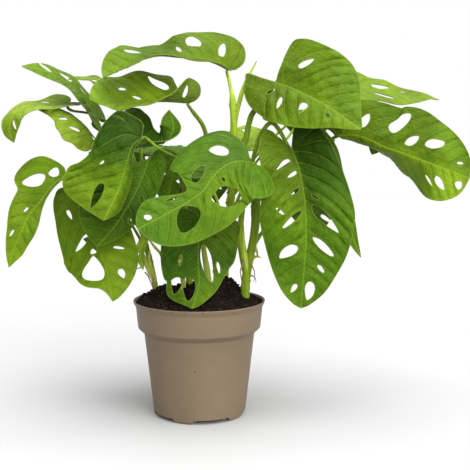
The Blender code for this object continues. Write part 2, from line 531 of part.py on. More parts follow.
def build_blade(leaf, collection):
    """A blade as a thin curved sheet with its holes, thickened evenly on both sides."""
    spine = Spine(leaf)
    flat, faces = flat_blade(leaf, spine.length, BLADE_STEP, 2, 7)
    mesh = bpy.data.meshes.new(leaf.name)
    mesh.from_pydata((bend(leaf, spine, flat) * MM).tolist(), [], faces.tolist())
    mesh.validate()
    bm = bmesh.new()
    bm.from_mesh(mesh)
    bmesh.ops.delete(bm, geom=[v for v in bm.verts if not v.link_faces], context="VERTS")
    bm.to_mesh(mesh)
    bm.free()
    blade = add_object(leaf.name, mesh, collection, "leaf_pale" if leaf.name in PALE_LEAVES else "leaf")
    shell = blade.modifiers.new("Thickness", "SOLIDIFY")
    shell.thickness = BLADE_THICKNESS * MM
    shell.offset = 0
    shell.use_even_offset = True
    return blade


def tube(name, route, radii, collection, resolution=1):
    """A round rod along the route, as a mesh. Its radius follows the given radii from end to end."""
    curve = bpy.data.curves.new(name, "CURVE")
    curve.dimensions = "3D"
    curve.bevel_depth = MM
    curve.bevel_resolution = resolution
    curve.use_fill_caps = True
    spline = curve.splines.new("POLY")
    spline.points.add(len(route) - 1)
    sizes = np.interp(np.linspace(0, 1, len(route)), np.linspace(0, 1, len(radii)), radii)
    for point, place, size in zip(spline.points, route, sizes):
        point.co = (*(np.array(place) * MM), 1)
        point.radius = size
    return as_mesh_object(add_object(name, curve, collection, "stem"), "stem")


def stem_point(stem, height):
    """Where the stem's centre is at this height."""
    route = smooth_route(STEMS[stem][1], 8)
    return np.array([*(np.interp(height, route[:, 2], route[:, i]) for i in (0, 1)), height])


def stalk_route(leaf, count):
    """A stalk's route from inside its stem to just under the notch of its blade."""
    spine = Spine(leaf)
    ahead, up = spine.ahead[0], spine.up[0]
    droop = max(0, -leaf.fold[0][0], -leaf.fold[1][0])
    gap = CLEARANCE + STALK_SLACK + droop * STALK_DROOP
    end = spine.points[0] + ahead - up * (0.7 * STALK_TIP + BLADE_THICKNESS / 2 + gap)
    before_end = end - up * 6 - ahead * 5
    foot = stem_point(leaf.stem, leaf.height)
    clasp = stem_point(leaf.stem, leaf.height - STALK_RISE)
    return resample(smooth_route([clasp, foot, *leaf.via, before_end, end], 8), count)


def build_stem(name, collection):
    """One cutting: its stem and all its leaf stalks, joined into one solid."""
    radii, route = STEMS[name]
    stem = tube(name, resample(smooth_route(route, 8), 12), radii, collection, 2)
    limbs = bpy.data.collections.new(f"{name}_limbs")
    bpy.context.scene.collection.children.link(limbs)
    for leaf in LEAVES:
        if leaf.stem == name:
            tube(f"stalk_of_{leaf.name}", stalk_route(leaf, 9), (STALK_FOOT, STALK_TIP), limbs)
    if name == "stem_tall":
        tube("spear", smooth_route(SPEAR, 2), SPEAR_RADII, limbs)
    join = stem.modifiers.new("Stalks", "BOOLEAN")
    join.operation = "UNION"
    join.operand_type = "COLLECTION"
    join.collection = limbs
    join.solver = "EXACT"
    stem = as_mesh_object(stem, "stem")
    for limb in list(limbs.objects):
        bpy.data.objects.remove(limb)
    bpy.data.collections.remove(limbs)
    return stem


def turned(name, profile, sides, collection, finish):
    """A solid turned about the Z axis from a profile,
    (radius, height), that starts and ends on the axis."""
    mesh = bpy.data.meshes.new(name)
    verts = [(r * MM, 0, z * MM) for r, z in profile]
    mesh.from_pydata(verts, [(i, i + 1) for i in range(len(verts) - 1)], [])
    obj = add_object(name, mesh, collection, finish)
    screw = obj.modifiers.new("Turn", "SCREW")
    screw.steps = screw.render_steps = sides
    screw.use_merge_vertices = True
    screw.merge_threshold = 0.00005
    screw.use_normal_calculate = True
    return as_mesh_object(obj, finish)


def faces_outward(obj):
    bm = bmesh.new()
    bm.from_mesh(obj.data)
    bmesh.ops.recalc_face_normals(bm, faces=bm.faces)
    bm.to_mesh(obj.data)
    bm.free()


def cut(obj, cutters, finish):
    """Takes every cutter out of the object."""
    for cutter in cutters:
        cutter.hide_render = True
        cutter.display_type = "WIRE"
        modifier = obj.modifiers.new(cutter.name, "BOOLEAN")
        modifier.operation = "DIFFERENCE"
        modifier.object = cutter
        modifier.solver = "EXACT"
    obj = as_mesh_object(obj, finish)
    for cutter in cutters:
        bpy.data.objects.remove(cutter)
    return obj


def build_pot(collection, cutters):
    """The pot: a turned wall with a stepped rim, and a floor on a centre disc and a notched foot ring."""
    profile = [
        (0, POT_FLOOR), *reversed(POT_INSIDE), *reversed(POT_WALL), (POT_CHANNEL_EDGE + 1.5, 0),
        (POT_CHANNEL_EDGE, POT_CHANNEL), (POT_CENTRE_FOOT + 1.5, POT_CHANNEL), (POT_CENTRE_FOOT, 0),
        (0, 0),
    ]
    pot = turned("pot", profile, POT_SIDES, collection, "pot")
    faces_outward(pot)
    tools = []
    for i in range(NOTCH_COUNT):
        turn = math.radians(NOTCH_TURN + i * 360 / NOTCH_COUNT)
        reach = (POT_CHANNEL_EDGE + POT_WALL[2][0] + 3) / 2 * MM
        place = (reach * math.cos(turn), reach * math.sin(turn), 0)
        bpy.ops.mesh.primitive_cube_add(size=1, location=place)
        notch = bpy.context.object
        notch.name = f"notch_{i}"
        notch.scale = (14 * MM, NOTCH_WIDTH * MM, 2 * (POT_CHANNEL + 0.3) * MM)
        notch.rotation_euler = (0, 0, turn)
        tools.append(notch)
    for i in range(DRAIN_COUNT):
        turn = math.radians((i + 0.5) * 360 / DRAIN_COUNT)
        reach = ((POT_CENTRE_FOOT + POT_CHANNEL_EDGE) / 2 + 1) * MM
        place = (reach * math.cos(turn), reach * math.sin(turn), POT_FLOOR * MM)
        bpy.ops.mesh.primitive_cylinder_add(
            vertices=12, radius=DRAIN_RADIUS * MM, depth=4 * POT_FLOOR * MM, location=place)
        drain = bpy.context.object
        drain.name = f"drain_{i}"
        tools.append(drain)
    for tool in tools:
        tool.users_collection[0].objects.unlink(tool)
        cutters.objects.link(tool)
    pot = cut(pot, tools, "pot")
    shade_smooth(pot)
    return pot


def soil_height(x, y):
    """The soil's surface: a low mound with heaps round the stems and small lumps."""
    r = math.hypot(x, y) / SOIL_EDGE
    height = SOIL_EDGE_HEIGHT + SOIL_MOUND * (1 - r * r)
    for cx, cy, spread, rise in SOIL_HEAPS:
        height += rise * math.exp(-((x - cx) ** 2 + (y - cy) ** 2) / spread**2)
    return height + 0.9 * math.sin(x * 0.31 + 1) * math.cos(y * 0.37) * (1 - r**4)


def build_soil(collection, stems):
    """The soil that fills the pot, with a plain hole for each stem."""
    wall = [(r - CLEARANCE - 0.2, z) for r, z in POT_INSIDE if z < SOIL_EDGE_HEIGHT]
    rings = [(r, SOIL_EDGE_HEIGHT) for r in (SOIL_EDGE - 1.0, 47, 38, 29, 20, 10, 0)]
    bottom = POT_FLOOR + CLEARANCE
    profile = [(0, bottom), (wall[-1][0], bottom), *reversed(wall[:-1]), *rings]
    soil = turned("soil", profile, 30, collection, "soil")
    for v in soil.data.vertices:
        if v.co.z > (SOIL_EDGE_HEIGHT - 0.1) * MM:
            v.co.z = soil_height(v.co.x / MM, v.co.y / MM) * MM
    faces_outward(soil)
    wells = []
    for name in stems:
        radii, route = STEMS[name]
        path = resample(smooth_route(route, 8), 12)
        path = np.concatenate([[path[0] - (0, 0, CLEARANCE + 0.5)], path])
        wells.append(tube(f"well_{name}", path, [r + 2 * CLEARANCE for r in radii], collection, 2))
    soil = cut(soil, wells, "soil")
    return soil


def main():
    for obj in list(bpy.data.objects):
        bpy.data.objects.remove(obj)
    plant = bpy.data.collections.new("monstera_adansonii")
    cutters = bpy.data.collections.new("cutters")
    for collection in (plant, cutters):
        bpy.context.scene.collection.children.link(collection)
    build_pot(plant, cutters)
    for name in STEMS:
        build_stem(name, plant)
    build_soil(plant, STEMS)
    for leaf in LEAVES:
        build_blade(leaf, plant)


if __name__ == "__main__":
    main()
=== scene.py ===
"""Monstera adansonii, the Swiss cheese vine, in a nursery pot: its looks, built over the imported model.

Every leaf is grown again from the model's own table, finely enough to pucker between its veins. The
tables give millimetres and the objects are built in metres, in the model's frame.
"""

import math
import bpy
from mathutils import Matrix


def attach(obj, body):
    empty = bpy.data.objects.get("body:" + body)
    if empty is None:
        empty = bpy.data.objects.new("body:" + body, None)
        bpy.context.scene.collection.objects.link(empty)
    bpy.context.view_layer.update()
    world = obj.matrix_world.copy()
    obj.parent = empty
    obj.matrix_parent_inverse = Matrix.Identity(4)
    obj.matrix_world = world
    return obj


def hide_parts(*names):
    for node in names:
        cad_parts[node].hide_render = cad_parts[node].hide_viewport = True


bl_info = {
    "name": "Swiss Cheese Vine in a Nursery Pot",
    "version": (1, 0, 0),
    "blender": (4, 5, 0),
    "location": "View3D > Sidebar > Plant",
    "description": "Builds a potted Swiss cheese vine with veined, holed leaves, stalks, soil and pot",
    "category": "Add Mesh",
}

from dataclasses import dataclass, field

import bmesh
import bpy
import numpy as np
from mathutils import Vector, noise
from mathutils.geometry import delaunay_2d_cdt

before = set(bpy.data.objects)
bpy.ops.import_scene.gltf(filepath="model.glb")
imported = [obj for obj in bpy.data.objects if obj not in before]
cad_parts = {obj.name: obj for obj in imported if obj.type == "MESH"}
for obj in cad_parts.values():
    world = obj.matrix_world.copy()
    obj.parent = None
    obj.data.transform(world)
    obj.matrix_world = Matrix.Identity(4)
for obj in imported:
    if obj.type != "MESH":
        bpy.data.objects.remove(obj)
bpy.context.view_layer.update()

MM = 0.001

# Camera, as the photograph was taken, and the studio round the plant
CAMERA_PLACE = (0.033, -0.900, 0.272)
CAMERA_PITCH = 83.3      # degrees up from straight down
CAMERA_LENS = 75.68      # millimetres
CAMERA_SENSOR = 36
OVERHEAD_AIM, FRONT_AIM = (-0.12, 0.10, -1.0), (-0.45, 0.90, -0.45)
FLOOR_REACH = 2500

# Pot
POT_FLOOR = 5.2
POT_CHANNEL = 3.6        # height of the raised drainage channel under the floor
POT_CENTRE_FOOT = 22.0
POT_CHANNEL_EDGE = 34.0
POT_WALL = [             # the outer side from the foot to the lip, (radius, height)
    (41.0, 0.0), (42.3, 1.2), (43.2, 8.0), (51.0, 76.6), (56.5, 81.6), (58.4, 101.0), (60.4, 104.6),
    (60.8, 106.5),
]
POT_INSIDE = [           # the inner side from the lip to the floor
    (59.4, 106.5), (57.0, 101.2), (55.1, 82.4), (49.6, 77.3), (42.0, POT_FLOOR),
]
POT_FILLET = 0.9         # rounding of the wall's corners
NOTCH_COUNT, NOTCH_WIDTH, NOTCH_TURN = 5, 33.0, -73.0
FOOT_SLOPE = 1.5         # how far the notches' ends and the channel's sides lean out at their foot
DRAIN_COUNT, DRAIN_RADIUS, DRAIN_SIDES = 6, 3.0, 24
GATE_PLACE = (-2.2, 50.2)   # the moulding mark, (across, height)
DUST_COLOUR, GATE_COLOUR, GATE_HALO = (0.035, 0.022, 0.013), (0.02, 0.014, 0.008), (0.20, 0.16, 0.11)
DUST_HEIGHTS, DUST_RADII = (0.094, 0.105), (0.050, 0.056)   # where the dust begins and is full, in metres
POT_SMOOTH_ANGLE = 35    # degrees. Sharper edges stay sharp

# Soil
SOIL_RINGS, SOIL_SIDES = 38, 120    # rings of points from the middle to the edge, and points in each
SOIL_SPECK_COLOUR = (0.07, 0.045, 0.03)
SOIL_EDGE = 57.4
SOIL_INSET = 0.6         # of the surface's edge
SOIL_BEVEL = 1.5         # height between the surface's edge and the side
SOIL_WALL_GAP = 0.5      # between the side and the pot's wall
SOIL_EDGE_HEIGHT = 104.8
SOIL_MOUND = 10.2
SOIL_HEAPS = [           # (x, y, spread, rise)
    (26, 10, 13, 12), (-30, 16, 12, 4), (-4, 24, 14, 6), (-39, 6, 11, 5),
]

# Blades and stalks
BLADE_THICKNESS = 0.8    # of the model's blades
BLADE_SIDE_STEPS = 24    # steps in which a blade is bent from its midrib to its edge
CLEARANCE = 0.3          # between a blade or the pot and what carries it
STALK_TIP = 1.3          # radius
STALK_FOOT = 2.3         # radius
STALK_RISE = 10.0        # how far a stalk runs up inside its stem before it leaves
STALK_SLACK = 0.1        # more room under a blade
STALK_DROOP = 0.007      # and more for each degree that a blade's base folds down
VEIN_FAN = 0.55          # slope from one vein to the next in the lobes behind the stalk
ROUTE_STEPS = 8          # steps of a smooth route between two of its points
STEM_SAMPLES, STALK_SAMPLES, SPEAR_SAMPLES, SHEATH_SAMPLES, ROOT_SAMPLES = 90, 60, 40, 30, 24
HOLE_SIDES = 22
FOLD_REACH = 3           # how far beside the midrib a blade mostly folds
EDGE_WAVES = 2.3         # waves along a blade's edge
LUMP_SIZE, DRIFT_SIZE = 6.5, 24      # of a blade's small and broad swellings
DRIFT_HEIGHT = 2.4       # of the broad ones
BESIDE_RIB = (-1.9, -0.8, 0.8, 1.9)  # rows of points on both sides of the midrib
SMOOTH_ANGLE = 60        # degrees
OLD_HEIGHTS = (0.12, 0.26)           # metres. Between them a stalk turns from its low to its own colour
TIP_HEIGHTS = (0.316, 0.324)         # metres. Between them the rolled leaf turns brown
BLADE_MAP = 100          # millimetres to one unit of the blade map
VEIN_MAP = 10            # millimetres of spacing to one unit of the vein map
LIP = 0.30               # how far a blade's rim stands out between its two sides
SHADE_SHIFT = (0.52, 0.66, 0.9)      # what the darker patches of a leaf do to its tint
UNDERSIDE_COLOUR = (0.17, 0.22, 0.06)
GLOW_COLOUR = (0.22, 0.30, 0.004)    # of the light that a blade lets through
OLD_ROOT_COLOUR = (0.30, 0.22, 0.10)
GREEN_GLOSS = (0.75, 1.0, 0.45, 1)
STALK_GLOSS = (0.8, 1.0, 0.5, 1)

# Outlines of half a blade, from the notch at the stalk round to the tip.
# Across is in half-widths. Along is in lobe lengths behind the stalk and in blade lengths before it.
BLADE_EDGE = [
    (0.00, 0.00), (0.16, -0.62), (0.42, -1.00), (0.74, -0.72), (0.95, 0.05), (1.00, 0.22),
    (0.95, 0.42), (0.78, 0.63), (0.50, 0.81), (0.22, 0.93), (0.00, 1.00),
]
OBLONG = [
    (0.00, 0.00), (0.18, -0.60), (0.42, -0.95), (0.66, -0.50), (0.79, 0.06), (0.85, 0.18), (0.96, 0.33),
    (1.01, 0.45), (0.91, 0.60), (0.75, 0.74), (0.47, 0.89), (0.20, 0.97), (0.00, 1.00),
]
BLUNT = [
    (0.00, 0.00), (0.22, -0.70), (0.58, -0.80), (0.90, 0.05), (1.00, 0.25), (0.97, 0.40), (0.86, 0.58),
    (0.72, 0.75), (0.46, 0.88), (0.18, 0.97), (0.00, 1.00),
]
SHOULDER = [
    (0.00, 0.00), (0.25, -0.60), (0.55, -0.60), (0.64, 0.05), (0.69, 0.23), (0.86, 0.41), (0.93, 0.51),
    (0.90, 0.62), (0.73, 0.78), (0.57, 0.84), (0.41, 0.86), (0.24, 0.88), (0.10, 0.93), (0.00, 1.00),
]
FULL_END = [
    (0.00, 0.00), (0.22, -0.70), (0.58, -0.80), (0.87, 0.05), (0.92, 0.29), (0.91, 0.46), (0.86, 0.60),
    (0.78, 0.78), (0.72, 0.91), (0.60, 0.96), (0.40, 0.98), (0.15, 0.99), (0.00, 1.00),
]
WIDE_TOP = [
    (0.00, 0.00), (0.25, -0.60), (0.70, -0.60), (1.12, -0.10), (1.15, 0.18), (1.09, 0.39), (0.95, 0.54),
    (0.65, 0.68), (0.42, 0.81), (0.17, 0.94), (0.00, 1.00),
]
SHORT_LOBE = [
    (0.00, 0.00), (0.30, 0.00), (0.58, 0.01), (0.82, 0.07), (0.96, 0.16), (1.00, 0.28),
    (0.95, 0.42), (0.78, 0.63), (0.50, 0.81), (0.22, 0.93), (0.00, 1.00),
]
SQUARE = [
    (0.00, 0.00), (0.30, 0.06), (0.62, 0.10), (0.90, 0.13), (1.00, 0.24), (1.00, 0.48), (0.98, 0.72),
    (0.86, 0.86), (0.55, 0.95), (0.00, 1.00),
]
UPRIGHT = [
    (0.00, 0.00), (0.30, -0.06), (0.62, -0.16), (0.90, -0.14), (0.99, 0.06), (1.02, 0.26), (1.00, 0.44),
    (0.84, 0.61), (0.52, 0.78), (0.22, 0.91), (0.08, 0.98), (0.00, 1.00),
]
LONG_LOBE = [
    (0.00, 0.00), (0.02, -0.50), (0.04, -1.05), (0.30, -0.88), (0.68, -0.58), (0.94, -0.06), (1.02, 0.20),
    (0.94, 0.42), (0.70, 0.62), (0.38, 0.81), (0.12, 0.95), (0.00, 1.00),
]
ROUND_END = [
    (0.00, 0.00), (0.16, -0.62), (0.48, -1.00), (0.84, -0.64), (0.98, 0.04), (1.00, 0.20), (0.97, 0.40),
    (0.90, 0.60), (0.78, 0.78), (0.58, 0.90), (0.30, 0.97), (0.00, 1.00),
]
WIDE_END = [
    (0.00, 0.00), (0.25, 0.04), (0.60, 0.10), (0.86, 0.18), (1.00, 0.36), (1.02, 0.58), (1.00, 0.78),
    (0.86, 0.90), (0.50, 0.98), (0.00, 1.00),
]
LATE = [
    (0.00, 0.00), (0.20, -0.50), (0.52, -0.40), (0.74, 0.10), (0.88, 0.28), (1.00, 0.49), (0.93, 0.65),
    (0.72, 0.82), (0.38, 0.95), (0.00, 1.00),
]
SWEPT = [
    (0.00, 0.00), (0.25, 0.08), (0.50, 0.19), (0.80, 0.36), (0.99, 0.52), (1.00, 0.70), (0.88, 0.86),
    (0.62, 0.95), (0.28, 0.99), (0.00, 1.00),
]
WIDE_LOW = [
    (0.00, 0.00), (0.20, -0.90), (0.48, -0.60), (0.66, -0.10), (0.69, 0.16), (0.72, 0.34), (0.84, 0.45),
    (1.04, 0.57), (1.05, 0.76), (0.90, 0.91), (0.52, 0.97), (0.20, 0.99), (0.00, 1.00),
]
PINCHED = [
    (0.00, 0.00), (0.40, -0.30), (0.76, -0.05), (0.97, 0.08), (1.04, 0.22), (0.98, 0.36), (0.86, 0.46),
    (0.52, 0.51), (0.22, 0.55), (0.26, 0.62), (0.38, 0.71), (0.50, 0.82), (0.46, 0.90), (0.24, 0.97),
    (0.00, 1.00),
]
TAPERED = [
    (0.00, 0.00), (0.18, -0.30), (0.55, -0.10), (0.84, 0.04), (1.06, 0.15), (1.02, 0.27), (0.72, 0.38),
    (0.52, 0.54), (0.33, 0.75), (0.15, 0.90), (0.00, 1.00),
]
NARROW_BASE = [
    (0.00, 0.00), (0.15, 0.03), (0.22, 0.16), (0.32, 0.32), (0.84, 0.46), (1.00, 0.58), (0.86, 0.72),
    (0.72, 0.85), (0.30, 0.94), (0.00, 1.00),
]
HIGH_BASE = [
    (0.00, 0.00), (0.25, -0.80), (0.65, -0.80), (0.94, -0.15), (1.04, 0.12), (0.98, 0.26), (0.76, 0.38),
    (0.46, 0.50), (0.26, 0.62), (0.30, 0.78), (0.22, 0.91), (0.00, 1.00),
]

# Holes of a blade that lists none, (along, across), their slant and the usual narrowing of a hole
BLADE_HOLES = [(0.16, 0.45), (0.36, 0.50), (0.56, 0.50), (0.75, 0.42)]
HOLE_SLANT = 42.0
HOLE_TAPER = 0.22


@dataclass
class Leaf:
    """One blade and its stalk. Left and right are as seen from above with the tip pointing away."""

    name: str
    stem: str
    height: float                     # where the stalk leaves its stem
    via: list                         # points the stalk passes
    rib: list                         # the midrib from the stalk to the tip
    face: list                        # where the upper side looks, at even stations from stalk to tip
    half: tuple                       # widest half-widths, left and right
    fold: tuple                       # rise of the left and right halves in degrees, each at even stations
    curl: tuple = (-12, -12)          # further turn of each half out to its edge, in degrees
    lobe: float = 14.0                # length of the lobes behind the stalk
    # Each as (along, across, length, width, slant) and, where it isn't the usual, how far it narrows
    holes: list = field(default_factory=list)
    edges: tuple = (BLADE_EDGE, BLADE_EDGE)     # the outline of each half, left and right
    wave: float = 1.2                 # height of the edge's waves


STEMS = {                             # radii at the foot and the top, and the route from the foot up
    "stem_left": (
        (3.4, 2.6), [(-40, 6, 66), (-41, 6, 112), (-46, 6, 141), (-51, 6, 162), (-54, 8, 190),
                     (-52, 12, 218)]),
    "stem_middle": (
        (3.4, 2.6), [(-10, 19, 66), (-10, 19, 118), (-12, 21, 155), (-14, 21, 195), (-11, 18, 231)]),
    "stem_tall": (
        (4.0, 3.4), [(24, 21, 66), (24, 21, 124), (27, 21, 165), (30, 18, 210), (32, 13, 252),
                     (30, 12, 298)]),
    "stem_right": (
        (5.0, 4.0), [(43, -3, 66), (43, -3, 117), (46, -3, 141), (51, -3, 167), (52, -2, 194),
                     (50, 0, 222)]),
}
# The youngest leaf, still rolled
SPEAR = [(32, 13, 262), (34, 14, 275), (37, 16, 287), (42, 19, 303), (53, 21, 325)]
SPEAR_RADII = (2.8, 2.4, 2.2, 1.7, 0.4)

# Pale sheaths of old stalks, joined to the stems at their feet: points and radii
SHEATHS = [
    ([(-53, 1, 160), (-53, 0, 151), (-50, 0, 142), (-46, 1, 132), (-42, 3, 122)],
     (1.2, 2.3, 2.6, 2.4, 1.6)),
    ([(-45, -1, 153), (-46, -1, 144), (-44, 0, 135), (-41, 2, 123)], (0.8, 1.8, 2.2, 1.7)),
    ([(-46, 1, 162), (-41, 1, 155), (-36, 2, 149), (-34, 4, 142)], (0.9, 1.5, 1.5, 0.8)),
    ([(45, -3, 139), (49, -4, 145), (53, -5, 147), (57, -6, 146)], (3.6, 2.6, 1.4, 0.3)),
    ([(48, -3, 163), (51, -4, 156), (53, -4, 151), (54, -5, 147)], (2.6, 2.4, 1.4, 0.5)),
    ([(40, -4, 176), (40, -5, 160), (42, -6, 146), (44, -5, 132)], (1.2, 2.4, 3.2, 2.2)),
    ([(3, 11, 164), (4, 10, 150), (6, 10, 136), (9, 10, 120)], (1.6, 2.8, 3.4, 2.6)),
    ([(16, 6, 148), (15, 6, 140), (13, 8, 130)], (0.6, 1.6, 1.0)),
    ([(-17, 8, 148), (-17, 8, 136), (-15, 9, 116)], (1.4, 2.6, 2.4)),
]

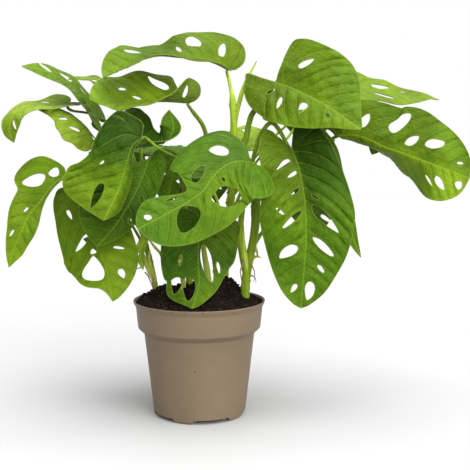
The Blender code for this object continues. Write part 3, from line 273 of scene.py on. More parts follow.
LEAVES = [
    Leaf("leaf_top", "stem_tall", 292, [],
         [(27, 12, 317), (14, 8, 323), (0, 3, 326), (-16, -3, 327), (-34, -8, 328), (-47, -12, 325),
          (-61, -17, 318), (-83, -23, 308)],
         [(0, -0.2, 1)], (26, 37), ([3, 5, 10, 16, 22], [58, 54, 46, 32, 14, 13, 33, 47, 50]),
         (-4, -12), 13,
         [(0.08, 0.5, 16, 6, 0), (0.26, 0.62, 15, 13, 10), (0.38, 0.38, 9, 5, 20), (0.69, 0.52, 14, 7, 60),
          (0.35, -0.5, 14, 6, 40), (0.6, -0.45, 11, 5, 40)], (SHORT_LOBE, ROUND_END)),
    Leaf("leaf_shelf", "stem_middle", 227, [(5, 12, 251), (4, 8, 265)],
         [(-9, -2, 287), (-30, -8, 288), (-51, -14, 287), (-73, -18, 285), (-88, -22, 287),
          (-94, -25, 289)],
         [(0, -0.2, 1)], (27, 40), ([85, 30, 6, -6, -6], [36, 36, 38, 36, 34]), (-8, -8), 9,
         [(0.26, 0.63, 24, 9.5, 32), (0.52, 0.17, 9, 3.5, 55), (0.07, -0.52, 13, 5, 0),
          (0.66, 0.55, 10, 4, 60)],
         (BLADE_EDGE, SQUARE)),
    Leaf("leaf_feather", "stem_left", 214, [(-70, 26, 244), (-86, 30, 256)],
         [(-95, 29, 272), (-103, 23, 286), (-112, 14, 298), (-124, 6, 308), (-138, 0, 315),
          (-158, -4, 319)],
         [(0.8, -0.3, 0.6), (0.6, -0.35, 0.8), (0.3, -0.5, 0.8)], (18, 22), ([10, 10, 10], [5, 5, 0]),
         lobe=8, holes=[(0.53, 0.44, 15, 9, 75), (0.77, 0.28, 16, 6, 58), (0.3, 0.5, 10, 4, 70),
                        (0.45, -0.5, 10, 4, 60)]),
    Leaf("leaf_far_left", "stem_left", 216, [(-60, 40, 264)],
         [(-84, 50, 305), (-101, 48, 310), (-113, 45, 311), (-124, 41, 309)],
         [(0, -0.2, 1)], (16, 18), ([0], [5]), lobe=8,
         holes=[(0.4, -0.5, 10, 5, 40), (0.4, 0.5, 10, 5, 40)]),
    Leaf("leaf_hook", "stem_left", 211, [(-72, 36, 256), (-98, 34, 275)],
         [(-122, 20, 287), (-131, 13, 286), (-141, 6, 285), (-152, -2, 284), (-161, -8, 280),
          (-167, -12, 272), (-168, -13, 261), (-165, -12, 251)],
         [(0, -0.1, 1), (-0.1, -0.15, 1), (-0.3, -0.4, 0.9), (-0.3, -1, 0.3)], (22, 19),
         ([4, 0, 10], [32, 12, 0, 10]), lobe=8,
         holes=[(0.25, 0.45, 12, 5, 60), (0.25, -0.45, 12, 5, 60), (0.52, 0.3, 12, 3, 80),
                (0.8, -0.25, 10, 3, 70)]),
    Leaf("leaf_pale_left", "stem_left", 208, [(-68, 26, 240), (-86, 22, 252)],
         [(-101, 16, 259), (-109, 12, 268), (-119, 8, 276), (-130, 4, 281), (-144, -2, 280)],
         [(0.2, -0.3, 1)], (24, 20), ([-42, -45, -35], [-8, -8, 0]), lobe=10,
         holes=[(0.27, -0.42, 12, 3, 76), (0.55, -0.34, 11, 2.6, 62), (0.45, 0.5, 9, 4, 50)]),
    Leaf("leaf_outer_left", "stem_left", 196, [(-72, 6, 217), (-97, 0, 224)],
         [(-120, -10, 222), (-132, -14, 212), (-142, -18, 198), (-151, -20, 187), (-158, -22, 172),
          (-166, -20, 155), (-171, -18, 139)],
         [(0, -1, 0.4), (0, -1, 0.2), (0, -1, 0.1)], (12, 34), ([-20, -10, 0], [0, 0, -10]),
         (-10, -25), 12,
         [(0.06, 0.25, 10, 9.4, 55), (0.21, 0.50, 20, 11, 39), (0.46, 0.15, 5, 2.7, 75),
          (0.7, 0.22, 8, 2.5, 80)],
         (NARROW_BASE, TAPERED)),
    Leaf("leaf_front_left", "stem_middle", 216, [(-8, -2, 230), (-20, -21, 238), (-33, -45, 247)],
         [(-47, -48, 256), (-55, -51, 249), (-60, -55, 233), (-65, -57, 216), (-72, -60, 200),
          (-79, -62, 186)],
         [(-0.1, -1, 0.2), (-0.2, -1, 0.4), (-0.1, -1, 0.2)], (15, 47),
         ([-50, -84, -84, -70], [0, 8, 0]), (0, -6), 10,
         [(0.78, 0.32, 25, 8, 91), (0.40, 0.45, 5, 2.5, 50)], (NARROW_BASE, WIDE_LOW)),
    Leaf("leaf_crest", "stem_left", 214, [(-66, 8, 228), (-80, 0, 236)],
         [(-80, -13, 246), (-69, -18, 247), (-55, -24, 248), (-40, -29, 249), (-28, -30, 253),
          (-21, -27, 263), (-25, -21, 280)],
         [(0, -0.2, 1), (0, -0.25, 1), (0, -0.3, 1), (0.2, -0.6, 0.8), (0.5, -0.9, 0.2)], (42, 13),
         ([48, 50, 45, 20, 0], [-35, -20, 40, 40, 10]), (-10, 0), 18,
         [(0.3, -0.45, 11, 4, 45), (0.16, -0.55, 12, 4, 45)], (HIGH_BASE, BLADE_EDGE)),
    Leaf("leaf_under_left", "stem_left", 204, [(-46, 0, 226)],
         [(-43, -21, 237), (-48, -27, 222), (-57, -33, 203), (-72, -36, 179), (-89, -34, 160)],
         [(0.1, -1, 0.3)], (17, 40), ([0], [0]), lobe=5,
         holes=[(0.36, 0.4, 15, 6, 62), (0.62, 0.5, 15, 6, 62), (0.4, -0.5, 9, 4, 42),
                (0.62, -0.5, 7, 3, 42)],
         edges=(BLADE_EDGE, SWEPT)),
    Leaf("leaf_low_left", "stem_left", 165, [(-66, 14, 186), (-80, 18, 202)],
         [(-110, 4, 206), (-109, -2, 195), (-104, -8, 177), (-94, -14, 161), (-86, -18, 147),
          (-81, -21, 131), (-77, -24, 109)],
         [(-0.1, -1, 0.2), (-0.1, -1, 0.15), (0, -1, 0.25)], (39, 38), ([-5], [-5]), lobe=10,
         holes=[(0.18, 0.30, 10, 3.8, 106), (0.42, 0.28, 19, 6.5, 20), (0.54, 0.13, 7, 5, 5),
                (0.69, 0.31, 26, 20, 70, -0.45),
                (0.61, -0.44, 10, 2.4, 25), (0.79, -0.32, 9, 6, 74)], edges=(BLUNT, SHOULDER)),
    Leaf("leaf_centre", "stem_right", 216, [(50, -20, 232)],
         [(46, -40, 235), (35, -48, 236), (24, -54, 232), (14, -60, 223), (6, -66, 212), (-8, -72, 202),
          (-25, -78, 193), (-48, -84, 181)],
         [(0, -0.8, 0.6), (0.05, -0.9, 0.45), (0, -0.8, 0.5)], (39, 42), ([0, -5, -10], [0, -8, -5]),
         (-10, -25), 17,
         [(0.39, -0.52, 27, 18, 139), (0.67, -0.32, 24, 19.5, 55), (0.90, 0.13, 8, 5, 43),
          (0.39, 0.30, 19, 9, 94), (0.17, 0.42, 16, 10, 29), (0.31, -0.22, 5, 3.2, 24),
          (0.69, 0.24, 13, 2.6, 82)], (ROUND_END, PINCHED)),
    Leaf("leaf_low_front", "stem_middle", 130, [(-4, 4, 160)],
         [(3, -26, 184), (1, -35, 165), (1, -43, 146), (2, -48, 132), (0, -51, 121), (-4, -54, 108)],
         [(0, -1, 0.2)], (31, 37), ([-5], [-5]), lobe=9,
         holes=[(0.76, 0.54, 24, 10, 92), (0.46, 0.43, 10, 3.5, 81), (0.79, 0.22, 25, 11, 104),
                (0.51, -0.24, 34, 10, 79), (0.56, -0.56, 12, 3.5, 84)],
         edges=(WIDE_TOP, FULL_END)),
    Leaf("leaf_great", "stem_right", 128,
         [(38, -5, 160), (40, -6, 190), (45, -7, 213), (51, -7, 242), (57, -8, 259), (67, -14, 268)],
         [(83, -22, 246), (89, -30, 230), (93, -36, 210), (95, -40, 189), (95, -44, 163), (93, -46, 136),
          (91, -46, 107)],
         [(0.05, -1, 0.3), (0.05, -1, 0.1), (0, -1, 0)], (42, 40), ([35, 20, 0], [5, 0, 0]),
         (-20, -10), 24,
         [(0.09, 0.32, 17, 6.5, 17), (0.17, 0.18, 10, 4, 24), (0.28, 0.19, 9, 3.5, 31),
          (0.46, 0.32, 23, 5, 42), (0.40, 0.56, 10, 3.5, 132), (0.66, 0.38, 19, 9.5, 39),
          (0.88, 0.19, 9, 4.5, 58), (0.33, -0.23, 8, 3, 38), (0.46, -0.40, 32, 8, 46, 0.45),
          (0.62, -0.37, 24, 6, 38), (0.75, -0.35, 9, 4, 44), (0.89, -0.15, 17, 9, 96)], (OBLONG, OBLONG)),
    Leaf("leaf_behind_great", "stem_right", 200, [(78, 14, 236)],
         [(110, 4, 256), (119, 4, 240), (126, 4, 216), (135, 3, 187), (142, 2, 163), (149, 2, 145)],
         [(0.1, -1, 0.2)], (9, 13), ([0], [0]), lobe=5,
         holes=[(0.3, 0.5, 8, 3, 42), (0.6, 0.5, 7, 3, 42)]),
    Leaf("leaf_crown", "stem_right", 218, [(41, 1, 242), (44, 1, 257), (46, 1, 268), (50, 2, 278)],
         [(69, -4, 305), (82, -14, 300), (94, -24, 294), (107, -33, 287), (123, -44, 276),
          (140, -54, 263)],
         [(-0.1, -0.7, 0.7)], (48, 36), ([32, 30, 15, 5], [-5, -10, -10]), (-15, -20), 30,
         [(0.18, -0.54, 15, 6, 26), (0.44, 0.40, 14, 8.5, 22), (0.20, 0.52, 12, 5, 20),
          (0.68, 0.20, 6, 3.5, 70), (0.03, 0.30, 9, 3.5, 151)],
         (UPRIGHT, LONG_LOBE)),
    Leaf("leaf_sliver", "stem_tall", 210, [(66, 25, 252), (104, 30, 284)],
         [(131, 28, 302), (151, 30, 301), (173, 33, 296), (197, 36, 293), (225, 38, 290)],
         [(0, -0.15, 1)], (28, 26), ([34, 30, 15], [-10, -14, -5]), lobe=12,
         holes=[(0.42, -0.45, 20, 7, 80), (0.42, 0.42, 20, 7, 80), (0.66, -0.4, 9, 3, 75)]),
    Leaf("leaf_outer_right", "stem_right", 196, [(76, 16, 224), (108, 14, 246)],
         [(127, 3, 257), (140, -1, 258), (154, -6, 254), (168, -12, 247), (185, -17, 241),
          (204, -21, 234), (223, -25, 227), (240, -28, 220)],
         [(0, -1, 0.12), (0.05, -1, 0.12)], (43, 31), ([0], [-92, -91, -88, -66, -16, 0]), (-12, -4), 10,
         [(0.16, -0.34, 14, 6.5, 11), (0.39, -0.58, 26, 15, 42), (0.53, -0.31, 14, 7, 41),
          (0.69, -0.41, 18, 9, 65), (0.90, -0.22, 6, 3, 70), (0.82, 0.45, 15, 6, 55),
          (0.74, 0.5, 12, 2.5, 55), (0.95, 0.3, 8, 7, 30)],
         (LATE, WIDE_END)),
    Leaf("leaf_peep", "stem_tall", 184, [(70, 38, 220), (130, 42, 255)],
         [(170, 30, 258), (166, 28, 249), (161, 26, 239)],
         [(0, -1, 0.3)], (8, 9), ([0], [0]), lobe=5, holes=[(0.4, 0.4, 6, 3, 40)]),
    Leaf("leaf_pale_back", "stem_tall", 175, [(46, 38, 220)],
         [(61, 48, 252), (47, 51, 255), (33, 52, 255), (15, 52, 250)],
         [(0, -0.6, 0.8)], (19, 19), ([0], [0]), lobe=8,
         holes=[(0.4, 0.5, 10, 5, 42), (0.45, -0.5, 10, 5, 42)]),
    Leaf("leaf_inner", "stem_middle", 206, [(-20, 14, 226)],
         [(-20, 7, 240), (-23, 3, 224), (-29, -4, 194)],
         [(0, -1, 0.3)], (11, 22), ([10], [10]), lobe=3,
         holes=[(0.45, 0.45, 8, 3, 42), (0.5, -0.45, 8, 3, 42)]),
    Leaf("leaf_faded", "stem_middle", 134, [(-26, 6, 160)],
         [(-49, -4, 163), (-53, -6, 152), (-51, -7, 135)],
         [(-0.3, -1, 0.1)], (4, 5), ([40], [40]), lobe=2, holes=[(0.5, 0.45, 3, 1.2, 80)]),
    Leaf("leaf_rear_right", "stem_tall", 200, [(70, 33, 240)],
         [(90, 47, 271), (102, 80, 281), (115, 115, 266), (120, 135, 229)],
         [(0, -0.1, 1), (0.1, 0.5, 1), (0.2, 1, 0.2)], (36, 36), ([10, -5, -10], [10, -5, -10])),
    Leaf("leaf_rear_left", "stem_middle", 205, [(-20, 40, 224)],
         [(-38, 60, 240), (-54, 82, 246), (-75, 108, 230), (-85, 122, 200)],
         [(0, -0.1, 1), (-0.1, 0.5, 1), (-0.2, 1, 0.2)], (34, 36), ([10, -5, -10], [10, -5, -10])),
    Leaf("leaf_rear_middle", "stem_tall", 155, [(16, 38, 195)],
         [(8, 52, 219), (4, 78, 227), (-4, 106, 208), (-10, 120, 165)],
         [(0, -0.1, 1), (0, 0.5, 1), (0, 1, 0.2)], (38, 36), ([10, -5, -10], [10, -5, -10])),
    Leaf("leaf_rear_low_right", "stem_right", 155, [(72, 22, 185)],
         [(91, 40, 205), (105, 66, 199), (114, 86, 155)],
         [(0, 0, 1), (0.1, 0.6, 0.8), (0.2, 1, 0)], (30, 30), ([10, -5], [10, -5])),
    Leaf("leaf_rear_low_left", "stem_left", 150, [(-66, 22, 177)],
         [(-76, 36, 189), (-95, 60, 177), (-106, 80, 141)],
         [(0, 0, 1), (-0.2, 0.6, 0.8), (-0.3, 1, 0)], (30, 30), ([10, -5], [10, -5])),
]

# Dry aerial roots at the stems' lowest joints: points and radius
ROOTS = [
    ([(43, -7, 147), (40, -9, 141), (38, -9, 134), (39, -8, 126), (40, -7, 120)], 0.9),
    ([(47, -7, 141), (50, -9, 136), (51, -10, 130), (50, -9, 124)], 0.7),
    ([(-50, 0, 132), (-47, 0, 128), (-45, 0, 123), (-43, 1, 117)], 0.8),
    ([(-43, 0, 130), (-42, -1, 126), (-42, -1, 121), (-41, 0, 116)], 0.9),
    ([(-53, 1, 136), (-57, 0, 135), (-60, 0, 133), (-62, 0, 134)], 0.6),
    ([(47, -6, 130), (50, -7, 129), (52, -7, 126), (52, -7, 123)], 0.7),
]

# Tints of the living pieces, as linear red, green and blue
TINTS = {
    "pale": (0.244, 0.337, 0.0222),
    "lemon": (0.155, 0.245, 0.0080),
    "bright": (0.113, 0.183, 0.0052),
    "sunny": (0.079, 0.144, 0.0030),
    "olive": (0.065, 0.111, 0.0022),
    "fresh": (0.054, 0.117, 0.0030),
    # Painted sheen: a bluish green that stands in for light glancing off a glossy blade
    "bluish_painted_sheen": (0.045, 0.107, 0.0044),
    # Painted shade: the two darkest tints stand in for the shade that falls deep inside the plant
    "deep": (0.024, 0.065, 0.0022),
    "dusk": (0.012, 0.036, 0.0012),
}
STOUT = {                # how much thicker some stalks are
    "leaf_crown": 2.2, "leaf_great": 1.7, "leaf_top": 1.3, "leaf_centre": 1.2, "leaf_outer_right": 1.3,
    "leaf_shelf": 1.6,
}
SWELLING = {             # how strongly a blade swells between its side veins, where it isn't 1
    "leaf_top": 0.35, "leaf_shelf": 0.6, "leaf_far_left": 0.5, "leaf_hook": 0.6, "leaf_outer_left": 0.6,
    "leaf_low_left": 0.55, "leaf_low_front": 0.7, "leaf_under_left": 0.7, "leaf_great": 0.8,
    "leaf_outer_right": 0.35, "leaf_sliver": 0.4, "leaf_pale_left": 0.6, "leaf_crown": 0.6,
    "leaf_centre": 0.55, "leaf_front_left": 0.6, "leaf_crest": 0.7,
}
# Partly the blades' own colour and partly painted light and shade: the darkest tints paint shade at blade
# bases and on leaves that lie under others
LEAF_TINTS = {           # of a blade, from its base to its tip, or of its left and right half
    "leaf_top": ("olive", "olive", "sunny", "bright"),
    "leaf_shelf": ("bright", "bright", "bright", "lemon"),
    "leaf_feather": ("sunny",),
    "leaf_far_left": ("bright",),
    "leaf_hook": ("sunny", "pale", "bright"),
    "leaf_pale_left": ("pale",),
    "leaf_outer_left": ("sunny", "bright", "bright"),
    "leaf_front_left": ("dusk", "deep", "sunny", "bright", "bright"),
    "leaf_crest": ("olive", "deep", "deep", "fresh"),
    "leaf_under_left": ("fresh", "deep", "fresh"),
    "leaf_low_left": (("fresh", "sunny", "bright", "bright"), ("olive", "sunny", "sunny", "bright")),
    # The bluish tint paints a sheen on the centre leaf
    "leaf_centre": (("fresh", "sunny", "fresh", "bluish_painted_sheen"), ("bluish_painted_sheen", "fresh", "bluish_painted_sheen")),
    "leaf_low_front": (("olive", "deep", "sunny"), ("deep", "deep", "fresh")),
    "leaf_great": (("dusk", "deep", "fresh", "fresh", "fresh"), ("olive", "sunny", "fresh", "fresh")),
    "leaf_behind_great": ("deep", "sunny", "sunny"),
    "leaf_crown": (("olive", "sunny", "sunny"), ("olive", "sunny", "bright")),
    "leaf_sliver": ("bright",),
    "leaf_outer_right": (("olive", "sunny", "sunny"), ("bright", "lemon", "lemon")),
    "leaf_peep": ("deep",),
    "leaf_pale_back": ("pale",),
    "leaf_faded": ("pale",),
}
USUAL_TINTS = ("fresh",)
PALE_LEAVES = {"leaf_pale_left", "leaf_sliver", "leaf_pale_back", "leaf_faded"}


# Settings

class BladeSettings(bpy.types.PropertyGroup):
    """How the leaf blades look."""

    spacing: bpy.props.FloatProperty(
        name="Point spacing", description="Distance between the points of a blade",
        default=0.0015, unit="LENGTH")
    thickness: bpy.props.FloatProperty(
        name="Thickness", description="Thickness of a blade between its veins",
        default=0.0005, unit="LENGTH")
    vein_spacing: bpy.props.FloatProperty(
        name="Vein spacing", description="Distance between side veins at the midrib",
        default=0.0115, unit="LENGTH")
    pucker: bpy.props.FloatProperty(
        name="Pucker", description="Height of the swellings between side veins",
        default=0.0017, unit="LENGTH")
    groove: bpy.props.FloatProperty(
        name="Groove", description="Depth of the midrib's groove on the upper side",
        default=0.0006, unit="LENGTH")
    rib: bpy.props.FloatProperty(
        name="Rib", description="Height of the midrib on the underside, at the stalk",
        default=0.0010, unit="LENGTH")
    roughness: bpy.props.FloatProperty(
        name="Roughness", description="Roughness of the upper side",
        default=0.44, min=0, max=1, subtype="FACTOR")
    sheer: bpy.props.FloatProperty(
        name="Sheer", description="Share of the light that passes through a blade",
        default=0.22, min=0, max=1, subtype="FACTOR")
    margin_colour: bpy.props.FloatVectorProperty(
        name="Margin colour", description="Colour of the thin line round the edge",
        default=(0.16, 0.22, 0.03), subtype="COLOR")
    vein_colour: bpy.props.FloatVectorProperty(
        name="Vein colour", description="Colour of the midrib",
        default=(0.16, 0.22, 0.02), subtype="COLOR")


class StalkSettings(bpy.types.PropertyGroup):
    """How the stems, leaf stalks and roots look."""

    sides: bpy.props.IntProperty(name="Sides", description="Sides of a stalk's section", default=14, min=6)
    groove: bpy.props.FloatProperty(
        name="Groove", description="Depth of a stalk's groove, as a share of its radius",
        default=0.22, min=0, max=1, subtype="FACTOR")
    young_colour: bpy.props.FloatVectorProperty(
        name="Young colour", description="Colour high on the tall stem", default=(0.27, 0.385, 0.022),
        subtype="COLOR")
    colour: bpy.props.FloatVectorProperty(
        name="Colour", description="Colour of the other stems and stalks", default=(0.095, 0.165, 0.006),
        subtype="COLOR")
    shaded_colour: bpy.props.FloatVectorProperty(
        name="Shaded colour", description="Colour of the stem and stalks in the middle of the plant",
        default=(0.085, 0.145, 0.008), subtype="COLOR")
    old_colour: bpy.props.FloatVectorProperty(
        name="Old colour", description="Colour low on the stems",
        default=(0.17, 0.255, 0.012), subtype="COLOR")
    sheath_colour: bpy.props.FloatVectorProperty(
        name="Sheath colour", description="Colour of the pale old sheaths", default=(0.33, 0.40, 0.06),
        subtype="COLOR")
    root_colour: bpy.props.FloatVectorProperty(
        name="Root colour", description="Colour of the dry roots and scales",
        default=(0.16, 0.085, 0.030), subtype="COLOR")


class SoilSettings(bpy.types.PropertyGroup):
    """How the potting soil looks."""

    coarse: bpy.props.FloatProperty(
        name="Coarse crumbs", description="Size of the largest crumbs", default=0.0054, unit="LENGTH")
    fine: bpy.props.FloatProperty(
        name="Fine crumbs", description="Size of the smallest crumbs", default=0.0013, unit="LENGTH")
    seed: bpy.props.IntProperty(name="Seed", description="Which random scatter is used", default=4)
    colour: bpy.props.FloatVectorProperty(
        name="Colour", description="Colour of the damp soil",
        default=(0.0060, 0.0036, 0.0022), subtype="COLOR")
    fibre_colour: bpy.props.FloatVectorProperty(
        name="Fibre colour", description="Colour of the peat fibres", default=(0.055, 0.030, 0.014),
        subtype="COLOR")


class PotSettings(bpy.types.PropertyGroup):
    """How the nursery pot looks."""

    sides: bpy.props.IntProperty(name="Sides", description="Sides of the turned wall", default=128, min=16)
    colour: bpy.props.FloatVectorProperty(
        name="Colour", description="Colour of the plastic",
        default=(0.122, 0.086, 0.050), subtype="COLOR")
    roughness: bpy.props.FloatProperty(
        name="Roughness", description="Roughness of the plastic",
        default=0.55, min=0, max=1, subtype="FACTOR")


class StageSettings(bpy.types.PropertyGroup):
    """The floor and the studio light."""

    floor_colour: bpy.props.FloatVectorProperty(
        name="Floor colour", description="Colour of the pale floor",
        default=(0.34, 0.34, 0.34), subtype="COLOR")
    sky: bpy.props.FloatProperty(
        name="Sky", description="Strength of the even light from all round", default=1.0, min=0)
    overhead: bpy.props.FloatProperty(
        name="Overhead", description="Strength of the soft light overhead", default=5.0, min=0)
    front: bpy.props.FloatProperty(
        name="Front", description="Strength of the soft light from the front", default=4.0, min=0)
    softness: bpy.props.FloatProperty(
        name="Softness", description="Width of both soft lights as seen from the plant",
        default=math.radians(55), subtype="ANGLE")


# Curves and surfaces

def smooth_route(points, steps):
    """Points of a Catmull-Rom curve through the given points, with this many steps a span."""
    points = [np.array(p, float) for p in points]
    ends = [2 * points[0] - points[1], *points, 2 * points[-1] - points[-2]]
    route = []
    for a, b, c, d in zip(ends, ends[1:], ends[2:], ends[3:]):
        for t in np.arange(steps) / steps:
            square, cube = 2 * a - 5 * b + 4 * c - d, 3 * b - a - 3 * c + d
            route.append(0.5 * (2 * b + (c - a) * t + square * t**2 + cube * t**3))
    return np.array([*route, points[-1]])


def run_along(route):
    """How far along the route each of its points is."""
    return np.concatenate([[0], np.cumsum(np.linalg.norm(np.diff(route, axis=0), axis=1))])


def resample(route, count):
    """The route as this many points, evenly spaced along it."""
    run = run_along(route)
    at = np.linspace(0, run[-1], count)
    return np.stack([np.interp(at, run, route[:, i]) for i in range(route.shape[1])], axis=1)


def rod_path(points, count):
    """A smooth route through the points, as this many points evenly spaced along it."""
    return resample(smooth_route(points, ROUTE_STEPS), count)


def along_rod(values, count):
    """Values given at even stations along a rod, at this many even points."""
    return np.interp(np.linspace(0, 1, count), np.linspace(0, 1, len(values)), values)


def along_blade(stations, share):
    """A value at each share of the length, eased between its even stations from the base to the tip."""
    stations = np.array(stations, float)
    at = np.clip(share, 0, 1) * (len(stations) - 1)
    low = np.minimum(at.astype(int), max(len(stations) - 2, 0))
    t = at - low
    t = 0.5 * t + 0.5 * t * t * (3 - 2 * t)
    high = np.minimum(low + 1, len(stations) - 1)
    if stations.ndim > 1:
        t = t[:, None]
    return stations[low] * (1 - t) + stations[high] * t


def unit(v):
    """Vectors of length 1 in the same directions."""
    return v / np.linalg.norm(v, axis=-1, keepdims=True)


def ease(x, low, high):
    """0 below low, 1 above high and smooth between."""
    t = np.clip((x - low) / (high - low), 0, 1)
    return t * t * (3 - 2 * t)


class Spine:
    """A blade's midrib, with the direction of travel, up and right at each of its samples."""

    def __init__(self, leaf, samples=160):
        self.points = resample(smooth_route(leaf.rib, 16), samples)
        self.run = run_along(self.points)
        self.length = self.run[-1]
        self.ahead = unit(np.gradient(self.points, axis=0))
        look = unit(along_blade(leaf.face, self.run / self.length))
        self.up = unit(look - self.ahead * (look * self.ahead).sum(1, keepdims=True))
        self.right = np.cross(self.ahead, self.up)

    def at(self, values, along):
        return np.stack([np.interp(along, self.run, values[:, i]) for i in range(3)], axis=1)


def bend(leaf, spine, flat):
    """Carries points (across, along) of the flat blade to their places in space."""
    across, along = flat[:, 0], flat[:, 1]
    on_rib = np.clip(along, 0, spine.length)
    share = on_rib / spine.length
    side = (across > 0).astype(int)
    half = np.array(leaf.half, float)[side]
    fold = np.where(side == 1, along_blade(leaf.fold[1], share), along_blade(leaf.fold[0], share))
    curl = np.array(leaf.curl, float)[side]
    reach = np.abs(across)
    out, rise = np.zeros_like(reach), np.zeros_like(reach)
    for k in range(BLADE_SIDE_STEPS):
        t = (k + 0.5) / BLADE_SIDE_STEPS * reach
        angle = np.radians(fold * (1 - np.exp(-t / FOLD_REACH)) + curl * t / half)
        out += np.cos(angle) * reach / BLADE_SIDE_STEPS
        rise += np.sin(angle) * reach / BLADE_SIDE_STEPS
    rise += leaf.wave * np.sin(2 * math.pi * (EDGE_WAVES * share + 0.3 * side)) * (reach / half) ** 2
    place, ahead, up, right = (
        spine.at(values, on_rib) for values in (spine.points, spine.ahead, spine.up, spine.right))
    behind = np.minimum(along, 0)[:, None]
    return place + ahead * behind + right * (out * np.sign(across))[:, None] + up * rise[:, None]


def blade_edge(leaf, length):
    """The closed outline of the flat blade."""
    sides = []
    for sign, half, outline in ((1, leaf.half[1], leaf.edges[1]), (-1, leaf.half[0], leaf.edges[0])):
        points = [(sign * half * x, leaf.lobe * y if y < 0 else length * y) for x, y in outline]
        sides.append(smooth_route(points, ROUTE_STEPS))
    right, left = sides
    right[0] = left[0] = (0, 0)
    right[-1] = left[-1] = (0, length)
    return np.concatenate([right, left[-2:0:-1]])


def listed_holes(leaf):
    """The holes of the leaf's own table, or the usual ones where it has none."""
    return leaf.holes or [
        (along, sign * across, 0.42 * leaf.half[0], 0.17 * leaf.half[0], HOLE_SLANT)
        for sign in (-1, 1) for along, across in BLADE_HOLES
    ]


def hole_edges(leaf, length):
    """The outline of each hole in the flat blade: an oval whose long axis follows the side veins."""
    turns = np.arange(HOLE_SIDES) * 2 * math.pi / HOLE_SIDES
    for k, (along, across, long_axis, short_axis, slant, *narrows) in enumerate(listed_holes(leaf)):
        sign = -1 if across < 0 else 1
        half = leaf.half[1 if across > 0 else 0]
        taper = narrows[0] if narrows else HOLE_TAPER
        a = long_axis / 2 * np.cos(turns) * (1 + 0.06 * np.cos(3 * turns + k))
        b = short_axis / 2 * np.sin(turns) * (1 - taper * np.cos(turns))
        b = b * (1 + 0.07 * np.sin(2 * turns + 2 * k))
        c, s = math.cos(math.radians(slant)), math.sin(math.radians(slant))
        yield np.stack([across * half + sign * (a * c - b * s), along * length + a * s + b * c], axis=1)


def inside(points, loop):
    """Which points lie inside the closed loop."""
    found = np.zeros(len(points), bool)
    for (x1, y1), (x2, y2) in zip(loop, np.roll(loop, -1, axis=0)):
        crosses = (y1 > points[:, 1]) != (y2 > points[:, 1])
        slope = (x2 - x1) / (y2 - y1) if y2 != y1 else 0
        found ^= crosses & (points[:, 0] < x1 + slope * (points[:, 1] - y1))
    return found


def gap_to(points, others):
    """Distance from each point to the nearest of the others."""
    gaps = np.full(len(points), np.inf)
    for part in np.array_split(others, max(1, len(others) // 200)):
        gaps = np.minimum(gaps, np.linalg.norm(points[:, None] - part[None], axis=2).min(axis=1))
    return gaps


# Veins

class Veins:
    """Where the side veins of one half of a blade run. They leave the midrib between the holes."""

    def __init__(self, leaf, side, length, spacing):
        self.half = leaf.half[side]
        self.spacing = spacing
        cells = sorted(
            along * length - self.climb(abs(across) * self.half)
            for along, across, *_ in listed_holes(leaf) if (across > 0) == bool(side)
        )
        middles = []
        for cell in cells:
            if middles and cell - middles[-1] < 0.45 * spacing:
                middles[-1] = (middles[-1] + cell) / 2
            else:
                middles.append(cell)
        if not middles:
            middles = [length / 2]
        feet = []
        for low, high in zip(middles, middles[1:]):
            parts = max(1, round((high - low) / spacing))
            feet += [low + (high - low) * (k + 0.5) / parts for k in range(parts)]
        first = feet[0] - spacing if feet else middles[0] - spacing / 2
        last = feet[-1] + spacing if feet else middles[-1] + spacing / 2
        below = list(np.arange(first, 0.25 * spacing, -spacing))[::-1]
        above = list(np.arange(last, length, spacing))
        self.feet = np.array(below + feet + above)

    def climb(self, reach):
        """How far towards the tip a vein has run when it is this far out."""
        t = reach / self.half
        return self.half * (0.6 * t + 0.25 * t**3)

    def count(self, reach, along):
        """The number of the vein at each point, with fractions between veins, and their spacing there."""
        foot = along - self.climb(reach)
        foot = np.where(foot < 0, foot / np.maximum(reach, 3) * self.spacing / VEIN_FAN, foot)
        at = np.interp(foot, self.feet, np.arange(len(self.feet)))
        at = np.where(foot < self.feet[0], (foot - self.feet[0]) / self.spacing, at)
        past = (foot - self.feet[-1]) / self.spacing
        at = np.where(foot > self.feet[-1], len(self.feet) - 1 + past, at)
        widths = np.concatenate([[self.spacing], np.diff(self.feet), [self.spacing]])
        return at, widths[np.clip(np.floor(at).astype(int) + 1, 0, len(widths) - 1)]

    def lines(self, step):
        """Points along every vein, as (reach, along)."""
        reach = np.arange(2.2, self.half * 1.1, step)
        lines = [np.stack([reach, foot + self.climb(reach)], axis=1) for foot in self.feet]
        for k in (1, 2, 3):
            lines.append(np.stack([reach, self.climb(reach) - k * VEIN_FAN * reach], axis=1))
        return np.concatenate(lines)


